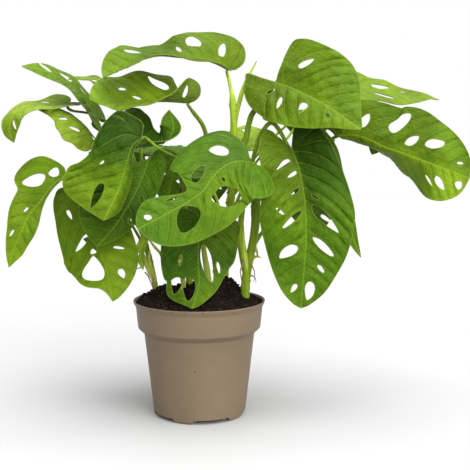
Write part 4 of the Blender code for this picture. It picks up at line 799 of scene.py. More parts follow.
def flat_blade(leaf, length, veins, step):
    """The flat blade's points and triangles, without its holes, and each point's distance to an edge."""
    edge = blade_edge(leaf, length)
    holes = list(hole_edges(leaf, length))
    loops = [edge, *holes]
    rib_at = np.linspace(0, length, max(3, round(length / step)) + 1)
    rib = np.stack([np.zeros(len(rib_at)), rib_at], axis=1)
    beside = [rib[1:-1] + (offset, 0) for offset in BESIDE_RIB]
    along_veins = [veins[side].lines(step * 0.9) * (1 if side else -1, 1) for side in (0, 1)]
    rows = np.arange(-leaf.lobe, length, step * 0.9)
    columns = np.arange(-max(leaf.half) * 1.06, max(leaf.half) * 1.06, step)
    grid = np.array([(x + (i % 2) * step / 2, y) for i, y in enumerate(rows) for x in columns])
    outlines = np.concatenate(loops)

    def clear(found, fixed, distance):
        keep = inside(found, edge)
        for hole in holes:
            keep &= ~inside(found, hole)
        found = found[keep]
        return found[gap_to(found, fixed) > distance]

    beside = clear(np.concatenate(beside), outlines, step * 0.5)
    fixed = np.concatenate([outlines, rib, beside])
    along_veins = clear(np.concatenate(along_veins), fixed, step * 0.6)
    grid = clear(grid, np.concatenate([fixed, along_veins]), step * 0.62)
    points, edges = [], []
    for loop in loops:
        first = len(points)
        points += list(loop)
        edges += [(first + i, first + (i + 1) % len(loop)) for i in range(len(loop))]
    tip = int(np.argmax(edge[:, 1]))
    chain = [0, *range(len(points), len(points) + len(rib) - 2), tip]
    points += list(rib[1:-1])
    edges += list(zip(chain, chain[1:]))
    points += [*beside, *along_veins, *grid]
    flat, _, faces, *_ = delaunay_2d_cdt([Vector(p) for p in points], edges, [], 0, 1e-5)
    flat, faces = np.array(flat), np.array(faces)
    middles = flat[faces].mean(axis=1)
    keep = inside(middles, edge)
    for hole in holes:
        keep &= ~inside(middles, hole)
    faces = faces[keep]
    used = np.unique(faces)
    new_number = np.zeros(len(flat), int)
    new_number[used] = np.arange(len(used))
    flat, faces = flat[used], new_number[faces]
    a, b, c = (flat[faces[:, i]] for i in range(3))
    turn = (b - a)[:, 0] * (c - a)[:, 1] - (b - a)[:, 1] * (c - a)[:, 0]
    faces[turn < 0] = faces[turn < 0][:, ::-1]
    return flat, faces, gap_to(flat, outlines)


def point_normals(points, faces):
    """The direction away from the surface at each of its points."""
    a, b, c = (points[faces[:, i]] for i in range(3))
    across = np.cross(b - a, c - a)
    normals = np.zeros_like(points)
    for i in range(3):
        np.add.at(normals, faces[:, i], across)
    return unit(normals)


def rim_edges(faces):
    """The directed edges of the triangles that have no triangle on their other side."""
    edges = np.concatenate([faces[:, [0, 1]], faces[:, [1, 2]], faces[:, [2, 0]]])
    code = edges[:, 0] * (faces.max() + 1) + edges[:, 1]
    back = edges[:, 1] * (faces.max() + 1) + edges[:, 0]
    return edges[~np.isin(code, back)]


# Making pieces

def collection():
    """The collection that holds the finished pieces."""
    name = "swiss_cheese_vine"
    if name not in bpy.data.collections:
        bpy.context.scene.collection.children.link(bpy.data.collections.new(name))
    return bpy.data.collections[name]


def new_object(name, data):
    """An object in the plant's collection."""
    obj = bpy.data.objects.new(name, data)
    collection().objects.link(obj)
    return obj


def new_mesh(name, points, faces, materials):
    """A mesh from points in millimetres."""
    mesh = bpy.data.meshes.new(name)
    mesh.from_pydata((np.asarray(points) * MM).tolist(), [], [list(map(int, face)) for face in faces])
    for finish in materials:
        mesh.materials.append(finish)
    return mesh


def settle(piece, slot, *nodes):
    """Puts the piece on the plant's one body, in place of the model's nodes."""
    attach(piece, "root")
    if nodes:
        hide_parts(*nodes)
    return piece


def made_plain(obj):
    """Replaces an object by the plain mesh that it evaluates to."""
    bpy.context.view_layer.update()
    graph = bpy.context.evaluated_depsgraph_get()
    mesh = bpy.data.meshes.new_from_object(obj.evaluated_get(graph))
    name = obj.name
    bpy.data.objects.remove(obj)
    mesh.name = name
    return new_object(name, mesh)


def shade_smooth(obj, angle):
    """Shades the object smoothly, but for edges sharper than this angle in degrees."""
    obj.data.shade_smooth()
    obj.data.set_sharp_from_angle(angle=math.radians(angle))


class Graph:
    """Short calls that make and link the nodes of one tree."""

    def __init__(self, tree):
        self.tree = tree

    def feed(self, socket, value):
        if isinstance(value, bpy.types.NodeSocket):
            self.tree.links.new(value, socket)
        else:
            socket.default_value = value

    def node(self, kind, settings=None, **inputs):
        made = self.tree.nodes.new(kind)
        for name, value in (settings or {}).items():
            setattr(made, name, value)
        for name, value in inputs.items():
            self.feed(made.inputs[name.replace("_", " ")], value)
        return made

    def math(self, operation, a, b=0.0, c=0.0):
        """One step of arithmetic on up to three values."""
        made = self.tree.nodes.new("ShaderNodeMath")
        made.operation = operation
        for socket, value in zip(made.inputs, (a, b, c)):
            self.feed(socket, value)
        return made.outputs[0]

    def product(self, a, b):
        """One value times another."""
        return self.math("MULTIPLY", a, b)

    def distance(self, a, b):
        """How far from the middle a point is that lies a along one way and b along the other."""
        squares = self.math("ADD", self.math("POWER", a, 2.0), self.math("POWER", b, 2.0))
        return self.math("SQRT", squares)

    def vector(self, operation, a, b):
        """One step of arithmetic on a vector or colour with another or, for SCALE, with a number."""
        made = self.tree.nodes.new("ShaderNodeVectorMath")
        made.operation = operation
        self.feed(made.inputs[0], a)
        self.feed(made.inputs["Scale" if operation == "SCALE" else 1], b)
        return made.outputs[0]

    def span(self, value, low, high, start, end):
        """Maps the value from low and high to start and end, eased."""
        made = self.node("ShaderNodeMapRange", {"interpolation_type": "SMOOTHSTEP"}, Value=value)
        for name, number in (("From Min", low), ("From Max", high), ("To Min", start), ("To Max", end)):
            self.feed(made.inputs[name], number)
        return made.outputs["Result"]

    def mix(self, share, a, b):
        """Colour a turned towards colour b by this share."""
        made = self.node("ShaderNodeMix", {"data_type": "RGBA"}, Factor=share)
        colours = [s for s in made.inputs if s.type == "RGBA"]
        for socket, value in zip(colours, (a, b)):
            self.feed(socket, value if isinstance(value, bpy.types.NodeSocket) else (*value, 1))
        return next(s for s in made.outputs if s.type == "RGBA")

    def noise(self, place, scale, detail=2.0, rough=0.5):
        made = self.node(
            "ShaderNodeTexNoise", None, Vector=place, Scale=scale, Detail=detail, Roughness=rough)
        return made.outputs["Fac"]

    def uv(self, name):
        """Both values of the piece's own map of this name."""
        flat = self.node("ShaderNodeUVMap", {"uv_map": name}).outputs["UV"]
        split = self.node("ShaderNodeSeparateXYZ", None, Vector=flat).outputs
        return split["X"], split["Y"]

    def attribute(self, name, output="Fac"):
        return self.node("ShaderNodeAttribute", {"attribute_name": name}).outputs[output]

    def bump(self, height, distance, strength=1.0):
        return self.node(
            "ShaderNodeBump", None, Height=height, Distance=distance, Strength=strength).outputs["Normal"]


def new_finish(name):
    """An empty material: its graph, its Principled shader and its output."""
    finish = bpy.data.materials.new(name)
    finish.use_nodes = True
    finish.node_tree.nodes.clear()
    graph = Graph(finish.node_tree)
    shader = graph.node("ShaderNodeBsdfPrincipled")
    output = graph.node("ShaderNodeOutputMaterial", None, Surface=shader.outputs["BSDF"])
    return finish, graph, shader, output


def place_in_object(graph):
    """The shaded point in the object's own coordinates, in metres."""
    return graph.node("ShaderNodeTexCoord").outputs["Object"]


def leaf_finish(name, looks, upper):
    """A leaf's skin: pale midrib, side veins, a fine net between them and a thin pale margin."""
    finish, graph, shader, output = new_finish(name)
    place = place_in_object(graph)
    number, width = graph.uv("veins")
    across, _ = graph.uv("blade")
    width = graph.product(width, VEIN_MAP)
    reach = graph.product(graph.math("ABSOLUTE", across), BLADE_MAP)
    edge = graph.attribute("edge")
    gap = graph.product(graph.math("PINGPONG", number, 0.5), width)
    side_vein = graph.span(gap, 0.25, 1.0, 1, 0)
    side_vein = graph.product(side_vein, graph.span(edge, 0.5, 6, 0, 1))
    rib = graph.span(reach, 0.3, 1.0, 1, 0)
    run = graph.product(graph.product(number, width), 0.3)
    cell = graph.node("ShaderNodeCombineXYZ", None, X=run, Y=graph.product(reach, 0.22)).outputs[0]
    net = graph.node(
        "ShaderNodeTexVoronoi", {"feature": "DISTANCE_TO_EDGE", "voronoi_dimensions": "2D"},
        Vector=cell, Scale=1.0).outputs["Distance"]
    net_line = graph.span(net, 0.0, 0.11, 1, 0)
    fine = graph.math("PINGPONG", graph.product(number, 3), 0.5)
    fine_vein = graph.span(graph.product(fine, width), 0.5, 1.5, 1, 0)

    tint = graph.attribute("tint", "Color")
    patches = graph.noise(place, 26, 3.0)
    mottle = graph.noise(place, 240, 2.0)
    light = graph.math(
        "ADD", graph.span(patches, 0.3, 0.7, 0.78, 1.22), graph.span(mottle, 0.3, 0.7, -0.07, 0.07))
    # Painted shade: the skin darkens along the sunken side veins and lightens a little on the swellings
    # between them
    light = graph.product(light, graph.span(gap, 0.3, 3.0, 0.87, 1.05))
    shaded = graph.vector("MULTIPLY", tint, SHADE_SHIFT)
    shade = graph.mix(graph.span(graph.noise(place, 14, 2.0), 0.35, 0.65, 0, 0.55), tint, shaded)
    skin = graph.vector("SCALE", shade, light)
    if not upper:
        skin = graph.mix(0.30, skin, UNDERSIDE_COLOUR)
    vein_colour = graph.mix(0.5, graph.vector("SCALE", tint, 1.7), looks.vein_colour)
    fine_share = graph.product(fine_vein, graph.span(patches, 0.35, 0.65, 0, 0.2))
    for share in (
        graph.product(net_line, 0.13), fine_share, graph.product(side_vein, 0.42), graph.product(rib, 0.55),
    ):
        skin = graph.mix(share, skin, vein_colour)
    skin = graph.mix(graph.span(edge, 0.1, 0.7, 0.5, 0), skin, looks.margin_colour)

    grain = graph.noise(place, 900, 2.0)
    height = graph.math("MULTIPLY_ADD", grain, 0.12, graph.span(net, 0.0, 0.30, 0, 0.8))
    height = graph.math("SUBTRACT", height, graph.product(side_vein, 0.9))
    smooth, rough = (looks.roughness - 0.05, looks.roughness + 0.09) if upper else (0.50, 0.62)
    graph.feed(shader.inputs["Base Color"], skin)
    graph.feed(shader.inputs["Roughness"], graph.span(mottle, 0.2, 0.8, smooth, rough))
    graph.feed(shader.inputs["Normal"], graph.bump(height, 0.00022 if upper else 0.00030))
    shader.inputs["Specular IOR Level"].default_value = 0.12 if upper else 0.06
    shader.inputs["Specular Tint"].default_value = GREEN_GLOSS
    glow_colour = graph.mix(0.25, graph.vector("SCALE", skin, 1.9), GLOW_COLOUR)
    glow = graph.node("ShaderNodeBsdfTranslucent", None, Color=glow_colour)
    both = graph.node("ShaderNodeMixShader", None, Fac=looks.sheer)
    graph.feed(both.inputs[1], shader.outputs["BSDF"])
    graph.feed(both.inputs[2], glow.outputs["BSDF"])
    graph.feed(output.inputs["Surface"], both.outputs[0])
    return finish


def blade_relief(leaf, looks, flat, edge_gap, number, width, share):
    """How far each point swells up, sinks in on the upper side and stands out on the underside."""
    reach = np.abs(flat[:, 0])
    between = number - np.floor(number)
    gap = np.minimum(between, 1 - between) * width
    seed = sum(map(ord, leaf.name)) % 97
    lumps = np.array([noise.noise((x / LUMP_SIZE, y / LUMP_SIZE, seed)) for x, y in flat])
    drift = np.array([noise.noise((x / DRIFT_SIZE, y / DRIFT_SIZE, seed + 50)) for x, y in flat])
    open_field = ease(reach, 0.5, 6) * ease(edge_gap, 0, 5)
    size = min(1, max(leaf.half) / 30)
    cell = np.array([
        noise.noise((n * 5.3, r / 13, seed + (20 if x > 0 else 9)))
        for n, r, x in zip(np.floor(number), reach, flat[:, 0])])
    swell = (np.sin(math.pi * between) ** 0.8 - 0.4) * (1 + 1.5 * cell) + 0.7 * lumps
    strength = SWELLING.get(leaf.name, 1.0) * (1 + 1.1 * drift)
    relief = looks.pucker / MM * size * strength * open_field * swell
    relief = relief + DRIFT_HEIGHT * size * drift * ease(reach, 0, 9)
    furrow = looks.groove / MM * (
        np.exp(-(reach / 0.9) ** 2) * (1.1 - 0.8 * share) + 0.45 * np.exp(-(gap / 0.9) ** 2) * open_field)
    ridge = looks.rib / MM * (
        np.exp(-(reach / 1.0) ** 2) * (1.15 - share) + 0.30 * np.exp(-(gap / 0.8) ** 2) * open_field)
    return relief, furrow, ridge


def closed_sheet(middle, faces, above, below):
    """A sheet with two sides and a closed rim, and the flat point that each of its points comes from."""
    normals = point_normals(middle, faces)
    top = middle + normals * above[:, None]
    under = middle - normals * below[:, None]
    rim = rim_edges(faces)
    count = len(middle)
    lips = np.unique(rim)
    lip_number = np.zeros(count, int)
    lip_number[lips] = 2 * count + np.arange(len(lips))
    outward = np.zeros_like(middle)
    for a, b in rim:
        away = np.cross(unit(middle[b] - middle[a]), normals[a])
        outward[a] += away
        outward[b] += away
    lip = middle[lips] + unit(outward[lips]) * LIP
    a, b = rim[:, 0], rim[:, 1]
    bands = np.concatenate([
        np.stack([b, a, lip_number[a], lip_number[b]], axis=1),
        np.stack([lip_number[b], lip_number[a], a + count, b + count], axis=1),
    ])
    all_faces = [*faces, *(faces[:, ::-1] + count), *bands]
    source = np.concatenate([np.arange(count), np.arange(count), lips])
    return np.concatenate([top, under, lip]), all_faces, source


def blade_tints(leaf, flat, share):
    """The tint at each point of the flat blade."""
    names = LEAF_TINTS.get(leaf.name, USUAL_TINTS)
    left, right = (names, names) if isinstance(names[0], str) else names
    towards_right = ease(flat[:, 0], -6, 6)[:, None]
    tints = along_blade([TINTS[t] for t in left], share) * (1 - towards_right)
    tints = tints + along_blade([TINTS[t] for t in right], share) * towards_right
    return np.concatenate([tints, np.ones((len(flat), 1))], axis=1)


def map_blade(mesh, flat, source, counts):
    """Lays two maps on the blade: one of its veins' numbers and spacing, and one of the flat blade."""
    corners = np.empty(len(mesh.loops), np.int32)
    mesh.loops.foreach_get("vertex_index", corners)
    starts = np.array([p.loop_start for p in mesh.polygons])
    sizes = np.array([p.loop_total for p in mesh.polygons])
    at = source[corners]
    on_right = np.repeat(np.add.reduceat(flat[at, 0], starts) / sizes > 0, sizes)
    number, width = (np.where(on_right, counts[1][k][at], counts[0][k][at]) for k in (0, 1))
    veins_map = mesh.uv_layers.new(name="veins")
    veins_map.data.foreach_set("uv", np.stack([number, width / VEIN_MAP], axis=1).ravel())
    blade_map = mesh.uv_layers.new(name="blade")
    blade_map.data.foreach_set("uv", (flat[at] / BLADE_MAP).ravel())


def grow_blade(leaf, looks, finishes):
    """One blade as a thin sheet that puckers between sunken veins, with its ribs raised below."""
    spine = Spine(leaf)
    veins = [Veins(leaf, side, spine.length, looks.vein_spacing / MM) for side in (0, 1)]
    flat, faces, edge_gap = flat_blade(leaf, spine.length, veins, looks.spacing / MM)
    share = np.clip(flat[:, 1] / spine.length, 0, 1)
    counts = [veins[side].count(np.abs(flat[:, 0]), flat[:, 1]) for side in (0, 1)]
    number, width = (np.where(flat[:, 0] > 0, counts[1][k], counts[0][k]) for k in (0, 1))
    relief, furrow, ridge = blade_relief(leaf, looks, flat, edge_gap, number, width, share)

    middle = bend(leaf, spine, flat)
    middle = middle + point_normals(middle, faces) * relief[:, None]
    half = looks.thickness / MM / 2 * (1 + 0.8 * (1 - ease(edge_gap, 0, 1.5)))
    points, all_faces, source = closed_sheet(middle, faces, half - furrow, half + ridge)
    mesh = new_mesh(leaf.name, points, all_faces, finishes)
    index = np.zeros(len(mesh.polygons), np.int32)
    index[len(faces):2 * len(faces)] = 1
    mesh.polygons.foreach_set("material_index", index)
    map_blade(mesh, flat, source, counts)
    edge = mesh.attributes.new("edge", "FLOAT", "POINT")
    edge.data.foreach_set("value", edge_gap[source])
    tint = mesh.attributes.new("tint", "FLOAT_COLOR", "POINT")
    tint.data.foreach_set("color", blade_tints(leaf, flat, share)[source].ravel())
    blade = new_object(leaf.name.replace("leaf_", "blade_"), mesh)
    shade_smooth(blade, SMOOTH_ANGLE)
    return blade


# Stems, stalks and roots

def stem_point(stem, height):
    """Where the stem's centre is at this height."""
    route = smooth_route(STEMS[stem][1], ROUTE_STEPS)
    return np.array([*(np.interp(height, route[:, 2], route[:, i]) for i in (0, 1)), height])


def stalk_route(leaf, count):
    """A stalk's route from inside its stem to just under the notch of its blade."""
    spine = Spine(leaf)
    ahead, up = spine.ahead[0], spine.up[0]
    droop = max(0, -leaf.fold[0][0], -leaf.fold[1][0])
    gap = CLEARANCE + STALK_SLACK + droop * STALK_DROOP
    end = spine.points[0] + ahead - up * (0.7 * STALK_TIP + BLADE_THICKNESS / 2 + gap)
    before_end = end - up * 6 - ahead * 5
    foot = stem_point(leaf.stem, leaf.height)
    clasp = stem_point(leaf.stem, leaf.height - STALK_RISE)
    return rod_path([clasp, foot, *leaf.via, before_end, end], count)


def new_tree(name, inputs):
    """An empty tree with these named inputs and a mesh as its output, and its graph."""
    tree = bpy.data.node_groups.new(name, "GeometryNodeTree")
    for label, kind in inputs:
        tree.interface.new_socket(label, in_out="INPUT", socket_type=f"NodeSocket{kind}")
    tree.interface.new_socket("Mesh", in_out="OUTPUT", socket_type="NodeSocketGeometry")
    return tree, Graph(tree)


def end_tree(graph, shape, finish):
    """Makes the tree's shape real, gives it its material and hands it out."""
    real = graph.node("GeometryNodeRealizeInstances", None, Geometry=shape)
    painted = graph.node("GeometryNodeSetMaterial", None, Geometry=real.outputs[0], Material=finish)
    graph.node("NodeGroupOutput", None, Mesh=painted.outputs[0])


def sweep_tree():
    """A tree that sweeps a grooved round section along curves, as thick as their radius says."""
    name = "Grown stalks"
    if name in bpy.data.node_groups:
        return bpy.data.node_groups[name]
    tree, graph = new_tree(
        name, (("Curves", "Geometry"), ("Sides", "Int"), ("Groove", "Float"), ("Finish", "Material")))
    given = graph.node("NodeGroupInput").outputs
    profile = graph.node("GeometryNodeCurvePrimitiveCircle", None, Resolution=given["Sides"])
    graph.feed(profile.inputs["Radius"], 1.0)
    place = graph.node("GeometryNodeInputPosition").outputs[0]
    height = graph.node("ShaderNodeSeparateXYZ", None, Vector=place).outputs["Y"]
    sunk = graph.product(graph.span(height, 0.45, 1.0, 0, -1), given["Groove"])
    offset = graph.node("ShaderNodeCombineXYZ", None, Y=sunk).outputs[0]
    profile = graph.node("GeometryNodeSetPosition", None, Geometry=profile.outputs["Curve"], Offset=offset)
    along = graph.node("GeometryNodeSplineParameter").outputs["Factor"]
    marked = graph.node(
        "GeometryNodeStoreNamedAttribute", {"data_type": "FLOAT", "domain": "POINT"},
        Geometry=given["Curves"], Name="along", Value=along)
    swept = graph.node(
        "GeometryNodeCurveToMesh", None, Curve=marked.outputs[0], Profile_Curve=profile.outputs[0],
        Scale=graph.node("GeometryNodeInputRadius").outputs[0], Fill_Caps=True)
    smooth = graph.node("GeometryNodeSetShadeSmooth", None, Geometry=swept.outputs[0])
    end_tree(graph, smooth.outputs[0], given["Finish"])
    return tree


def with_tree(obj, tree, **values):
    """Adds the tree to the object as a modifier, with the values of its named inputs."""
    modifier = obj.modifiers.new(tree.name, "NODES")
    modifier.node_group = tree
    for item in tree.interface.items_tree:
        if item.in_out == "INPUT" and item.name.replace(" ", "_") in values:
            modifier[item.identifier] = values[item.name.replace(" ", "_")]
    return obj


def sweep(name, routes, looks, finish, groove=0.0):
    """Rods along routes of (points, radii) in millimetres, as one plain mesh."""
    curve = bpy.data.curves.new(name, "CURVE")
    curve.dimensions = "3D"
    curve.twist_mode = "Z_UP"
    for points, radii in routes:
        spline = curve.splines.new("POLY")
        spline.points.add(len(points) - 1)
        for point, place, radius in zip(spline.points, points, radii):
            point.co = (*(place * MM), 1)
            point.radius = radius * MM
    obj = with_tree(new_object(name, curve), sweep_tree(), Sides=looks.sides, Groove=groove, Finish=finish)
    return made_plain(obj)


def stalk_radii(leaf, count):
    """A stalk from the sheath that clasps the stem to the small knee under its blade."""
    t = np.linspace(0, 1, count)
    body = STALK_FOOT + (STALK_TIP - STALK_FOOT) * ease(t, 0.0, 0.6)
    body = body * (1 + (STOUT.get(leaf.name, 1) - 1) * (1 - ease(t, 0.85, 0.98)))
    sheath = 0.5 * np.exp(-((t - 0.10) / 0.08) ** 2)
    knee = 0.30 * np.exp(-((t - 0.955) / 0.022) ** 2)
    return body + sheath + knee


def stem_radii(name, path):
    """The stem's own taper, with a swollen ring at each stalk it bears."""
    low, high = STEMS[name][0]
    radii = low + (high - low) * np.linspace(0, 1, len(path))
    for leaf in LEAVES:
        if leaf.stem == name:
            radii = radii * (1 + 0.13 * np.exp(-((path[:, 2] - leaf.height + STALK_RISE) / 1.6) ** 2))
    return radii * np.sqrt(np.clip(np.linspace(25, 0, len(path)), 0.02, 1))


def stalk_finish(name, looks, colour, low_colour):
    """Smooth green skin that takes its colour with height, with faint streaks and dry specks."""
    finish, graph, shader, _ = new_finish(name)
    place = place_in_object(graph)
    height = graph.node("ShaderNodeSeparateXYZ", None, Vector=place).outputs["Z"]
    streaks = graph.noise(graph.vector("MULTIPLY", place, (1, 1, 0.12)), 420, 3.0)
    patches = graph.noise(place, 45, 2.0)
    age = graph.span(height, *OLD_HEIGHTS, 0, 1)
    age = graph.math("ADD", age, graph.span(patches, 0.3, 0.7, -0.2, 0.2))
    skin = graph.mix(age, low_colour, colour)
    skin = graph.mix(graph.span(height, *TIP_HEIGHTS, 0, 0.6), skin, looks.root_colour)
    skin = graph.vector("SCALE", skin, graph.span(streaks, 0.25, 0.75, 0.78, 1.16))
    specks = graph.span(graph.noise(place, 700, 1.0), 0.66, 0.74, 0, 0.5)
    skin = graph.mix(specks, skin, looks.root_colour)
    graph.feed(shader.inputs["Base Color"], skin)
    graph.feed(shader.inputs["Roughness"], graph.span(streaks, 0.2, 0.8, 0.44, 0.60))
    graph.feed(shader.inputs["Normal"], graph.bump(streaks, 0.00015, 0.6))
    shader.inputs["Specular IOR Level"].default_value = 0.18
    shader.inputs["Specular Tint"].default_value = STALK_GLOSS
    return finish


def dry_finish(name, looks):
    """Dry brown skin of roots and old scales."""
    finish, graph, shader, _ = new_finish(name)
    place = place_in_object(graph)
    grain = graph.noise(place, 500, 4.0, 0.7)
    old = graph.span(graph.noise(place, 90), 0.3, 0.7, 0, 1)
    skin = graph.mix(old, looks.root_colour, OLD_ROOT_COLOUR)
    skin = graph.vector("SCALE", skin, graph.span(grain, 0.3, 0.7, 0.6, 1.25))
    graph.feed(shader.inputs["Base Color"], skin)
    graph.feed(shader.inputs["Roughness"], graph.span(grain, 0.2, 0.8, 0.68, 0.88))
    graph.feed(shader.inputs["Normal"], graph.bump(grain, 0.0003))
    return finish


# Soil

def soil_height(x, y):
    """The soil's surface: a low mound with heaps round the stems and small lumps."""
    r = np.hypot(x, y) / SOIL_EDGE
    height = SOIL_EDGE_HEIGHT + SOIL_MOUND * (1 - r * r)
    for cx, cy, spread, rise in SOIL_HEAPS:
        height = height + rise * np.exp(-((x - cx) ** 2 + (y - cy) ** 2) / spread**2)
    return height + 0.9 * np.sin(x * 0.31 + 1) * np.cos(y * 0.37) * (1 - r**4)


def soil_bed():
    """The soil as points and faces: its surface from the middle out, then its side and its underside."""
    steps, sides = SOIL_RINGS, SOIL_SIDES
    edge = SOIL_EDGE - SOIL_INSET

    def turn(i, k):
        return 2 * math.pi * (i + 0.5 * (k % 2)) / sides

    points, faces = [(0, 0, float(soil_height(0, 0)))], []
    for k in range(1, steps + 1):
        r = edge * k / steps
        for i in range(sides):
            x, y = r * math.cos(turn(i, k)), r * math.sin(turn(i, k))
            bumps = noise.fractal((x * 0.16, y * 0.16, 3), 1, 2, 5) * 1.5 * (1 - (k / steps) ** 6)
            points.append((x, y, float(soil_height(x, y)) + bumps))
    for i in range(sides):
        j = (i + 1) % sides
        faces.append((0, 1 + i, 1 + j))
        for k in range(1, steps):
            a, b = 1 + (k - 1) * sides, 1 + k * sides
            faces.append((a + i, b + i, b + j, a + j))
    rim = 1 + (steps - 1) * sides
    walls = [
        (edge, SOIL_EDGE_HEIGHT - SOIL_BEVEL), *((r - SOIL_WALL_GAP, z) for r, z in POT_INSIDE[2:-1]),
        (POT_INSIDE[-1][0] - SOIL_WALL_GAP, POT_FLOOR + CLEARANCE),
    ]
    for r, z in walls:
        first = len(points)
        points += [(r * math.cos(turn(i, steps)), r * math.sin(turn(i, steps)), z) for i in range(sides)]
        for i in range(sides):
            j = (i + 1) % sides
            faces.append((rim + i, first + i, first + j, rim + j))
        rim = first
    points.append((0, 0, POT_FLOOR + CLEARANCE))
    for i in range(sides):
        faces.append((len(points) - 1, rim + (i + 1) % sides, rim + i))
    return points, faces


def scatter_tree():
    """A tree that scatters crumbs and bent fibres over a surface, from one seed."""
    tree, graph = new_tree("Scattered soil", (
        ("Surface", "Geometry"), ("Gap", "Float"), ("Density", "Float"), ("Smallest", "Float"),
        ("Largest", "Float"), ("Length", "Float"), ("Seed", "Int"), ("Finish", "Material"),
    ))
    given = graph.node("NodeGroupInput").outputs
    dots = graph.node(
        "GeometryNodeDistributePointsOnFaces", {"distribute_method": "POISSON"}, Mesh=given["Surface"],
        Distance_Min=given["Gap"], Density_Max=given["Density"], Seed=given["Seed"])
    ball = graph.node("GeometryNodeMeshIcoSphere", None, Radius=1.0, Subdivisions=1).outputs["Mesh"]
    place = graph.node("GeometryNodeInputPosition").outputs[0]
    rough = graph.node("ShaderNodeTexNoise", None, Vector=place, Scale=1.7, Detail=1.0).outputs["Color"]
    shove = graph.vector("SCALE", graph.vector("SUBTRACT", rough, (0.5, 0.5, 0.5)), 1.1)
    crumb = graph.node("GeometryNodeSetPosition", None, Geometry=ball, Offset=shove).outputs[0]

    def random(kind, low, high, seed):
        made = graph.node("FunctionNodeRandomValue", {"data_type": kind})
        inputs = [s for s in made.inputs if s.enabled and s.name in ("Min", "Max")]
        graph.feed(inputs[0], low)
        graph.feed(inputs[1], high)
        graph.feed(made.inputs["Seed"], seed)
        return next(s for s in made.outputs if s.enabled)

    share = graph.math("POWER", random("FLOAT", 0.0, 1.0, 11), 2.4)
    spread = graph.math("SUBTRACT", given["Largest"], given["Smallest"])
    size = graph.math("MULTIPLY_ADD", share, spread, given["Smallest"])
    longer = graph.node("ShaderNodeCombineXYZ", None, X=given["Length"], Y=1.0, Z=1.0).outputs[0]
    stretch = random("FLOAT_VECTOR", (0.75, 0.75, 0.5), (1.3, 1.3, 1.0), 12)
    stretch = graph.vector("MULTIPLY", stretch, longer)
    turn = random("FLOAT_VECTOR", (-0.5, -0.5, 0.0), (0.5, 0.5, 6.28), 13)
    spots = graph.node(
        "GeometryNodeInstanceOnPoints", None, Points=dots.outputs["Points"], Instance=crumb, Rotation=turn,
        Scale=graph.vector("SCALE", stretch, graph.product(size, 0.5)))
    end_tree(graph, spots.outputs[0], given["Finish"])
    return tree


def soil_finish(name, colour, light, roughness):
    """Damp crumbly soil with painted shade in the hollows of its bumps, and a few pale specks."""
    finish, graph, shader, _ = new_finish(name)
    place = place_in_object(graph)
    grain = graph.noise(place, 700, 5.0, 0.75)
    clumps = graph.noise(place, 130, 3.0)
    # Painted shade: the grain that makes the bumps also darkens their hollows, and the clumps vary the tone
    # at random
    shade = graph.product(graph.span(grain, 0.3, 0.7, 0.45, 1.5), graph.span(clumps, 0.3, 0.7, 0.6, 1.5))
    skin = graph.vector("SCALE", graph.vector("SCALE", (*colour,), light), shade)
    specks = graph.span(graph.noise(place, 1500, 1.0), 0.69, 0.76, 0, 0.5)
    skin = graph.mix(specks, skin, SOIL_SPECK_COLOUR)
    graph.feed(shader.inputs["Base Color"], skin)
    graph.feed(shader.inputs["Roughness"], graph.span(grain, 0.2, 0.8, roughness - 0.08, roughness))
    graph.feed(shader.inputs["Normal"], graph.bump(grain, 0.0006))
    shader.inputs["Specular IOR Level"].default_value = 0.08
    return finish


# Pot

def rounded(profile, radius, steps=4):
    """The profile with each of its corners rounded by a short curve."""
    points = [np.array(p, float) for p in profile]
    result = [points[0]]
    for before, corner, after in zip(points, points[1:], points[2:]):
        back, on = before - corner, after - corner
        cut = min(radius, 0.42 * np.linalg.norm(back), 0.42 * np.linalg.norm(on))
        start, end = corner + unit(back) * cut, corner + unit(on) * cut
        for t in np.linspace(0, 1, steps):
            result.append((1 - t) ** 2 * start + 2 * t * (1 - t) * corner + t**2 * end)
    return [*result, points[-1]]


def turned(name, profile, sides, finish):
    """A solid turned about the Z axis from a profile of (radius, height) between two points on the axis."""
    turns = np.arange(sides) * 2 * math.pi / sides
    rings = [(r, z) for r, z in profile if r > 0]
    points = [(r * math.cos(t), r * math.sin(t), z) for r, z in rings for t in turns]
    faces = []
    for k in range(len(rings) - 1):
        for i in range(sides):
            j = (i + 1) % sides
            faces.append((k * sides + i, k * sides + j, (k + 1) * sides + j, (k + 1) * sides + i))
    low, high = len(points), len(points) + 1
    points += [(0, 0, profile[0][1]), (0, 0, profile[-1][1])]
    last = (len(rings) - 1) * sides
    for i in range(sides):
        j = (i + 1) % sides
        faces.append((low, j, i))
        faces.append((high, last + i, last + j))
    obj = new_object(name, new_mesh(name, points, faces, [finish]))
    face_outward(obj)
    return obj


def face_outward(obj):
    """Turns all faces of a closed mesh outward."""
    bm = bmesh.new()
    bm.from_mesh(obj.data)
    bmesh.ops.recalc_face_normals(bm, faces=bm.faces)
    bm.to_mesh(obj.data)
    bm.free()


